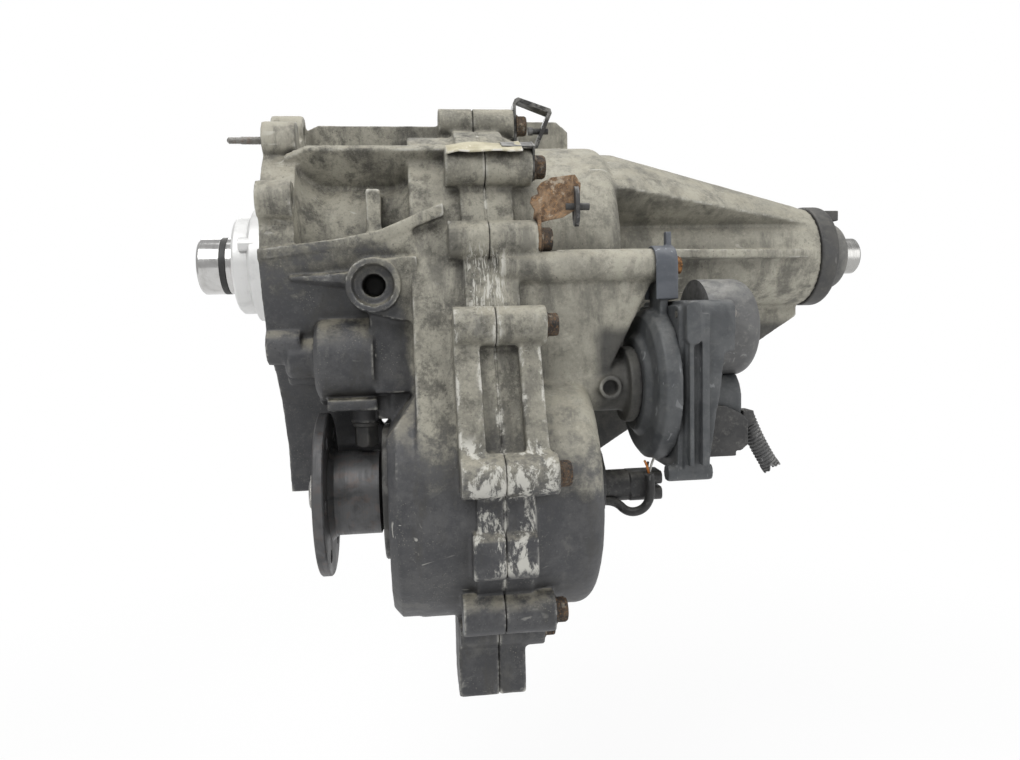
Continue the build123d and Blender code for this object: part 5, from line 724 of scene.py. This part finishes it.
# Retainer bolts, which point forward
RETAINER_FACE_X, RETAINER_BOLT_PCR, RETAINER_BOLTS = 7.0, 55.0, 5
RETAINER_SHANK_START, RETAINER_SHANK_R = -14.0, 2.95
RETAINER_HEAD, RETAINER_TURN = (10.0, 4.9), 0.4
bolts = bmesh.new()
for number in range(RETAINER_BOLTS):
    place = along_x(*polar(RETAINER_BOLT_PCR, 90 + 360 / RETAINER_BOLTS * number))
    flipped = place @ Matrix.Rotation(math.pi, 4, "Z")
    shank = [(RETAINER_SHANK_START, RETAINER_SHANK_R), (-RETAINER_FACE_X, RETAINER_SHANK_R)]
    loft(bolts, shank, flipped, 24)
    hex_head(bolts, flipped, -RETAINER_FACE_X, *RETAINER_HEAD, RETAINER_TURN * number)
dress("retainer_bolts_turned", bolts, "retainer_bolts")

# The bolt that holds the actuator to its arm
ARM_PLACE, ARM_SHANK_X, EAR_END_X, ARM_SHANK_R = (-112.0, -12.0), 256.0, 290.0, 3.9
ARM_HEAD, ARM_TURN, ARM_WASHER = (12.0, 5.9), 0.3, (7.5, 1.5)
bolts = bmesh.new()
loft(bolts, [(ARM_SHANK_X, ARM_SHANK_R), (EAR_END_X, ARM_SHANK_R)], along_x(*ARM_PLACE), 30)
hex_head(bolts, along_x(*ARM_PLACE), EAR_END_X, *ARM_HEAD, ARM_TURN, ARM_WASHER)
dress("actuator_bolt_turned", bolts, "actuator_bolt")

# Cover screws with a lobed socket
COVER_SCREWS, COVER_SHANK_X, COVER_FACE_X = ((-141.0, -47.0), (-59.0, -47.0)), 284.0, 323.0
COVER_SHANK_R, COVER_HEAD_RINGS = 2.45, ((0.0, 4.9), (1.4, 5.0), (2.6, 4.3), (3.3, 3.2))
SOCKET_RISES, SOCKET_R, SOCKET_LOBE, SOCKET_LOBES = (3.4, 1.6), 2.1, 0.35, 6


def socket_radius(angle):
    """The lobed socket's radius at an angle."""
    return SOCKET_R + SOCKET_LOBE * math.cos(SOCKET_LOBES * angle)


screws = bmesh.new()
for place in (along_x(*spot) for spot in COVER_SCREWS):
    loft(screws, [(COVER_SHANK_X, COVER_SHANK_R), (COVER_FACE_X, COVER_SHANK_R)], place, 24)
    rings = [(COVER_FACE_X + rise, radius) for rise, radius in COVER_HEAD_RINGS]
    rings += [(COVER_FACE_X + rise, socket_radius) for rise in SOCKET_RISES]
    loft(screws, rings, place)
dress("cover_screws_turned", screws, "cover_screws")

# The plug that hangs under the shift cylinder
PLUG_PLACE, PLUG_SHANK = (67.0, -80.0, -121.0), ((-14.0, 5.2), (-13.0, 5.95), (0.0, 5.95))
PLUG_HEAD, PLUG_TURN, PLUG_WASHER = (16.0, 15.0), 0.2, (10.0, 3.0)
plug = bmesh.new()
hanging = Matrix.Translation(PLUG_PLACE) @ Matrix.Rotation(math.pi / 2, 4, "Y")
loft(plug, PLUG_SHANK, hanging, 36)
hex_head(plug, hanging, 0.0, *PLUG_HEAD, PLUG_TURN, PLUG_WASHER)
dress("side_plug_turned", plug, "side_plug")

# Flange stud with a real thread and a round nose
STUD_PLACE, STUD_R, STUD_PITCH, THREAD_DEPTH = polar(105.0, 124), 3.0, 1.0, 0.48
STUD_NOSE = [(-25.9, 0.9), (-25.5, 1.5), (-25.0, 2.0)]
THREAD_START, THREAD_STEP, THREAD_STEPS, CREST_TRIM = -24.6, 0.17, 230, 0.06
RUN_OUT_X, RUN_OUT_LENGTH, RUN_OUT_DEPTH = -15.0, 2.0, 0.4


def thread_ring(along):
    """The stud's radius at an angle, at one distance along it."""
    cut = min(1.0, max(0.0, (RUN_OUT_X - along) / RUN_OUT_LENGTH)) * RUN_OUT_DEPTH

    def radius(angle):
        saw = (along / STUD_PITCH + angle / (2 * math.pi)) % 1.0
        return STUD_R - CREST_TRIM - cut - THREAD_DEPTH * abs(2 * saw - 1)
    return radius


stud = bmesh.new()
places = [THREAD_START + step * THREAD_STEP for step in range(THREAD_STEPS)]
loft(stud, STUD_NOSE + [(along, thread_ring(along)) for along in places], along_x(*STUD_PLACE), 36)
dress("adapter_stud_threaded", stud, "adapter_stud")


# Cream tag: a thin, curled strip over the second boss
TAG_ROOT, TAG_ANGLE = polar(UPPER_BOLT_R, 147), math.radians(113)
TAG_X, TAG_WIDTH, TAG_THICK = (131.2, 184.2), 26.0, 0.0012
TAG_ROWS, TAG_COLUMNS = 40, 16
TAG_LIFT, TAG_SHIFT = 14.3, 1
TAG_CROWN, TAG_CUP, TAG_RIPPLE = 1.1, 2.2, 0.5
TAG_CURL, TAG_CURL_START = 1.6, 0.82
TAG_DROOP, TAG_DROOP_END = 2.2, 0.15
TAG_TAPER, TAG_TAPER_END = 7, 0.3
tag_out = Vector((0, math.cos(TAG_ANGLE), math.sin(TAG_ANGLE)))
tag_side = Vector((0, -math.sin(TAG_ANGLE), math.cos(TAG_ANGLE)))


def tag_spot(along, across):
    """The strip's middle surface: along 0 to 1 rearward, across -0.5 to 0.5."""
    lift = TAG_LIFT + TAG_CROWN * math.sin(math.pi * along) - TAG_CUP * across**2
    lift += TAG_RIPPLE * math.sin(9 * along + 3 * across)
    lift += TAG_CURL * max(0.0, along - TAG_CURL_START) / (1 - TAG_CURL_START)
    lift -= TAG_DROOP * max(0.0, TAG_DROOP_END - along) / TAG_DROOP_END * (0.5 + across)
    width = TAG_WIDTH - TAG_TAPER * max(0.0, TAG_TAPER_END - along) / TAG_TAPER_END
    start = Vector((TAG_X[0] + (TAG_X[1] - TAG_X[0]) * along, *TAG_ROOT))
    return start + tag_side * (width * across + TAG_SHIFT) + tag_out * lift


tag = bmesh.new()
grid = [[tag.verts.new(tag_spot(row / TAG_ROWS, column / TAG_COLUMNS - 0.5) * MM)
         for column in range(TAG_COLUMNS + 1)] for row in range(TAG_ROWS + 1)]
for low, high in zip(grid, grid[1:]):
    for step in range(TAG_COLUMNS):
        tag.faces.new((low[step], low[step + 1], high[step + 1], high[step]))
tag_piece = dress("cream_tag_curled", tag, "cream_tag")
skin = tag_piece.modifiers.new("skin", "SOLIDIFY")
skin.thickness = TAG_THICK
skin.offset = 0.0
smooth_shade(apply_modifiers(tag_piece))


# Cords and the cut conduit
LEAD_ROUTE, LEAD_R = ((243.0, -96.0, -186.5), (251.0, -96.0, -186.5), (260.0, -99.5, -196.0),
                      (272.0, -103.0, -193.0), (277.5, -104.5, -180.0), (275.0, -104.5, -165.0)), 3.4
LEAD_WIRE_R, LEAD_WIRES = 0.9, (
    ("lead_wire_1", "wire_orange", ((275.0, -104.5, -166), (274.0, -105.5, -160), (271.0, -107.0, -155))),
    ("lead_wire_2", "wire_white", ((275.8, -103.6, -166), (276.5, -104.0, -159), (279.0, -105.5, -153))),
    ("lead_wire_3", "wire_black", ((274.4, -103.8, -166), (274.2, -102.5, -160), (275.5, -101.5, -157))),
)
CONDUIT_ROUTE = ((348.0, -112.0, -126.0), (355.5, -112.0, -145.0), (368.0, -112.0, -164.0))
CONDUIT_WIRE_R, CONDUIT_WIRES = 1.0, (
    ("conduit_wire_1", "wire_black", ((352.0, -112, -136), (360.0, -110.5, -152), (369.0, -113, -163))),
    ("conduit_wire_2", "wire_white", ((353.0, -110, -138), (361.0, -113.5, -153), (367.0, -110, -165))),
    ("conduit_wire_3", "wire_orange", ((351.0, -113, -136), (358.0, -114.0, -153), (365.0, -114, -163))),
)


def smooth_curve(name, route, radius, material):
    """A round cord along a smooth line with the route's points as its control points."""
    data = bpy.data.curves.new(name, "CURVE")
    data.dimensions = "3D"
    data.bevel_depth = radius * MM
    data.bevel_resolution = 5
    data.resolution_u = 16
    data.use_fill_caps = True
    spline = data.splines.new("NURBS")
    spline.points.add(len(route) - 1)
    for point, spot in zip(spline.points, route):
        point.co = (*(Vector(spot) * MM), 1.0)
    spline.order_u = 3
    spline.use_endpoint_u = True
    obj = bpy.data.objects.new(name, data)
    bpy.context.scene.collection.objects.link(obj)
    return paint(obj, material)


def line_of(route, steps):
    """Points along the smooth line through a route's control points, in millimetres."""
    guide = smooth_curve("guide", route, 0.0, MATERIALS["black_rubber"])
    guide.data.resolution_u = steps
    mesh = bpy.data.meshes.new_from_object(guide)
    points = [vertex.co / MM for vertex in mesh.vertices]
    bpy.data.objects.remove(guide)
    return points


def wires(routes, radius):
    """Thin insulated wires that ride the case, given as (name, material, route)."""
    pieces = []
    for name, material, route in routes:
        piece = smooth_curve(name, route, radius, MATERIALS[material])
        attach(piece, "case")
        pieces.append(piece)
    return pieces


lead_wires = wires(LEAD_WIRES, LEAD_WIRE_R)
lead = smooth_curve("sensor_lead_cord", LEAD_ROUTE, LEAD_R, MATERIALS["black_rubber"])
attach(lead, "case")
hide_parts("sensor_lead")

CONDUIT_STEPS, CONDUIT_SIDES, CONDUIT_WALL = 96, 48, 0.0007
CONDUIT_ROOT_R, RIB_HEIGHT, RIB_PITCH, RIB_POWER = 5.7, 1.0, 2.7, 0.6
TORN_LENGTH, TORN_BACK, TORN_FLARE = 5, 2.5, 0.25
TORN_WAVES = ((2.2, 3, 1), (1.2, 7, 0))


def ribbed_tube():
    """The conduit: an open, corrugated tube with a torn end."""
    line = line_of(CONDUIT_ROUTE, CONDUIT_STEPS)
    total = sum((b - a).length for a, b in zip(line, line[1:]))
    shape = bmesh.new()
    side = Vector((0, 1, 0))
    loops = []
    gone = 0.0
    for index, point in enumerate(line):
        if index:
            gone += (point - line[index - 1]).length
        ahead = (line[min(index + 1, len(line) - 1)] - line[max(index - 1, 0)]).normalized()
        other = ahead.cross(side).normalized()
        rib = 0.5 + 0.5 * math.cos(2 * math.pi * gone / RIB_PITCH)
        torn = max(0.0, (gone - total + TORN_LENGTH) / TORN_LENGTH)
        radius = CONDUIT_ROOT_R + RIB_HEIGHT * rib**RIB_POWER + TORN_FLARE * torn
        loop = []
        for step in range(CONDUIT_SIDES):
            angle = 2 * math.pi * step / CONDUIT_SIDES
            shift = torn * sum(size * math.sin(turns * angle + phase) for size, turns, phase in TORN_WAVES)
            spot = point + (side * math.cos(angle) + other * math.sin(angle)) * radius
            loop.append(shape.verts.new((spot + ahead * (shift - TORN_BACK * torn)) * MM))
        loops.append(loop)
    skin_loops(shape, loops)
    shape.faces.new(loops[0][::-1])
    obj = dress("conduit_ribbed", shape, "actuator_conduit")
    shell = obj.modifiers.new("wall", "SOLIDIFY")
    shell.thickness = CONDUIT_WALL
    shell.offset = -1.0
    smooth_shade(apply_modifiers(obj))


ribbed_tube()
wires(CONDUIT_WIRES, CONDUIT_WIRE_R)

# Camera fitted to the photograph
YAW, PITCH, ROLL = math.radians(-7.03), math.radians(5.0), math.radians(-1.40)
EYE = Vector((0.1042, -0.6557, -0.0430))
FOCAL_PIXELS, PHOTO_WIDTH, SENSOR_WIDTH = 771.2, 1020, 36.0
right = Vector((math.cos(YAW), math.sin(YAW), 0))
ahead = Vector((-math.sin(YAW), math.cos(YAW), 0))
up = Vector((0, 0, 1)) * math.cos(PITCH) + ahead * math.sin(PITCH)
forward = ahead * math.cos(PITCH) - Vector((0, 0, 1)) * math.sin(PITCH)
tilted_right = right * math.cos(ROLL) + up * math.sin(ROLL)
tilted_up = -right * math.sin(ROLL) + up * math.cos(ROLL)
camera_data = bpy.data.cameras.new("camera")
camera_data.sensor_width = SENSOR_WIDTH
camera_data.sensor_fit = "HORIZONTAL"
camera_data.lens = FOCAL_PIXELS / PHOTO_WIDTH * SENSOR_WIDTH
camera_data.clip_start = 0.01
camera = bpy.data.objects.new("camera", camera_data)
turn = Matrix((tilted_right, tilted_up, -forward)).transposed().to_4x4()
camera.matrix_world = Matrix.Translation(EYE) @ turn
bpy.context.scene.collection.objects.link(camera)
bpy.context.scene.camera = camera

# Floor, world and lamps
FLOOR_PLACE, FLOOR_HALF_SIZE, FLOOR_TONE = (0.2, 0.0, -0.62), 4.0, 0.86
FLOOR_FADE, FLOOR_WHITE = (0.3, 1.3), (0.72, 1.0)
WORLD_LIGHT, WORLD_SEEN = 0.55, 1.0
LAMPS = (
    ("key", (-0.35, -0.95, 1.05), (0.2, 0, -0.05), (0.9, 0.9), 11),
    ("top", (0.35, 0.15, 1.3), (0.2, 0, 0), (1.2, 0.9), 9),
    ("fill", (1.1, -0.8, 0.2), (0.2, 0, -0.1), (0.8, 0.8), 4),
    ("back", (0.1, 1.2, 0.5), (0.2, 0, 0), (1.2, 0.8), 7),
)


def area_lamp(name, place, target, size, power):
    """A soft rectangular lamp at a place, turned to a target."""
    data = bpy.data.lights.new(name, "AREA")
    data.shape = "RECTANGLE"
    data.size, data.size_y = size
    data.energy = power
    lamp = bpy.data.objects.new(name, data)
    lamp.location = place
    lamp.rotation_euler = (Vector(target) - Vector(place)).to_track_quat("-Z", "Y").to_euler()
    bpy.context.scene.collection.objects.link(lamp)


def floor_material():
    """A pale floor that is white to the camera far away and keeps a soft shadow near the part."""
    s = Shader("floor_pale")
    nodes, links = s.tree.nodes, s.tree.links
    s.set(Base_Color=(FLOOR_TONE,) * 3, Roughness=0.9)
    glow = nodes.new("ShaderNodeEmission")
    glow.inputs["Color"].default_value = (1.0, 1.0, 1.0, 1.0)
    path = nodes.new("ShaderNodeLightPath")
    seen = s.math("MAXIMUM", path.outputs["Is Camera Ray"], path.outputs["Is Glossy Ray"])
    seen = s.math("MAXIMUM", seen, path.outputs["Is Transmission Ray"])
    x, y = s.axis("X"), s.axis("Y")
    far = s.math("SQRT", s.math("ADD", s.times(x, x), s.times(y, y)))
    share = s.times(seen, s.band(far, *FLOOR_FADE, *FLOOR_WHITE))
    blend = nodes.new("ShaderNodeMixShader")
    s.link(share, blend.inputs[0])
    links.new(s.surface.outputs[0], blend.inputs[1])
    links.new(glow.outputs[0], blend.inputs[2])
    links.new(blend.outputs[0], nodes["Material Output"].inputs["Surface"])
    return s.material


floor_mesh = bpy.data.meshes.new("floor")
plane = bmesh.new()
bmesh.ops.create_grid(plane, x_segments=8, y_segments=8, size=FLOOR_HALF_SIZE)
plane.to_mesh(floor_mesh)
plane.free()
floor = new_object("floor", floor_mesh)
floor.location = FLOOR_PLACE
floor.data.materials.append(floor_material())

world = bpy.data.worlds.new("studio")
world.use_nodes = True
bpy.context.scene.world = world
world_nodes, world_links = world.node_tree.nodes, world.node_tree.links
backdrop = world_nodes["Background"]
backdrop.inputs["Color"].default_value = (1, 1, 1, 1)
path = world_nodes.new("ShaderNodeLightPath")
seen = world_nodes.new("ShaderNodeMath")
seen.operation = "MAXIMUM"
world_links.new(path.outputs["Is Camera Ray"], seen.inputs[0])
world_links.new(path.outputs["Is Transmission Ray"], seen.inputs[1])
level = world_nodes.new("ShaderNodeMapRange")
level.inputs["To Min"].default_value = WORLD_LIGHT
level.inputs["To Max"].default_value = WORLD_SEEN
world_links.new(seen.outputs[0], level.inputs["Value"])
world_links.new(level.outputs["Result"], backdrop.inputs["Strength"])

for lamp_settings in LAMPS:
    area_lamp(*lamp_settings)
bpy.context.scene.view_settings.view_transform = "Standard"
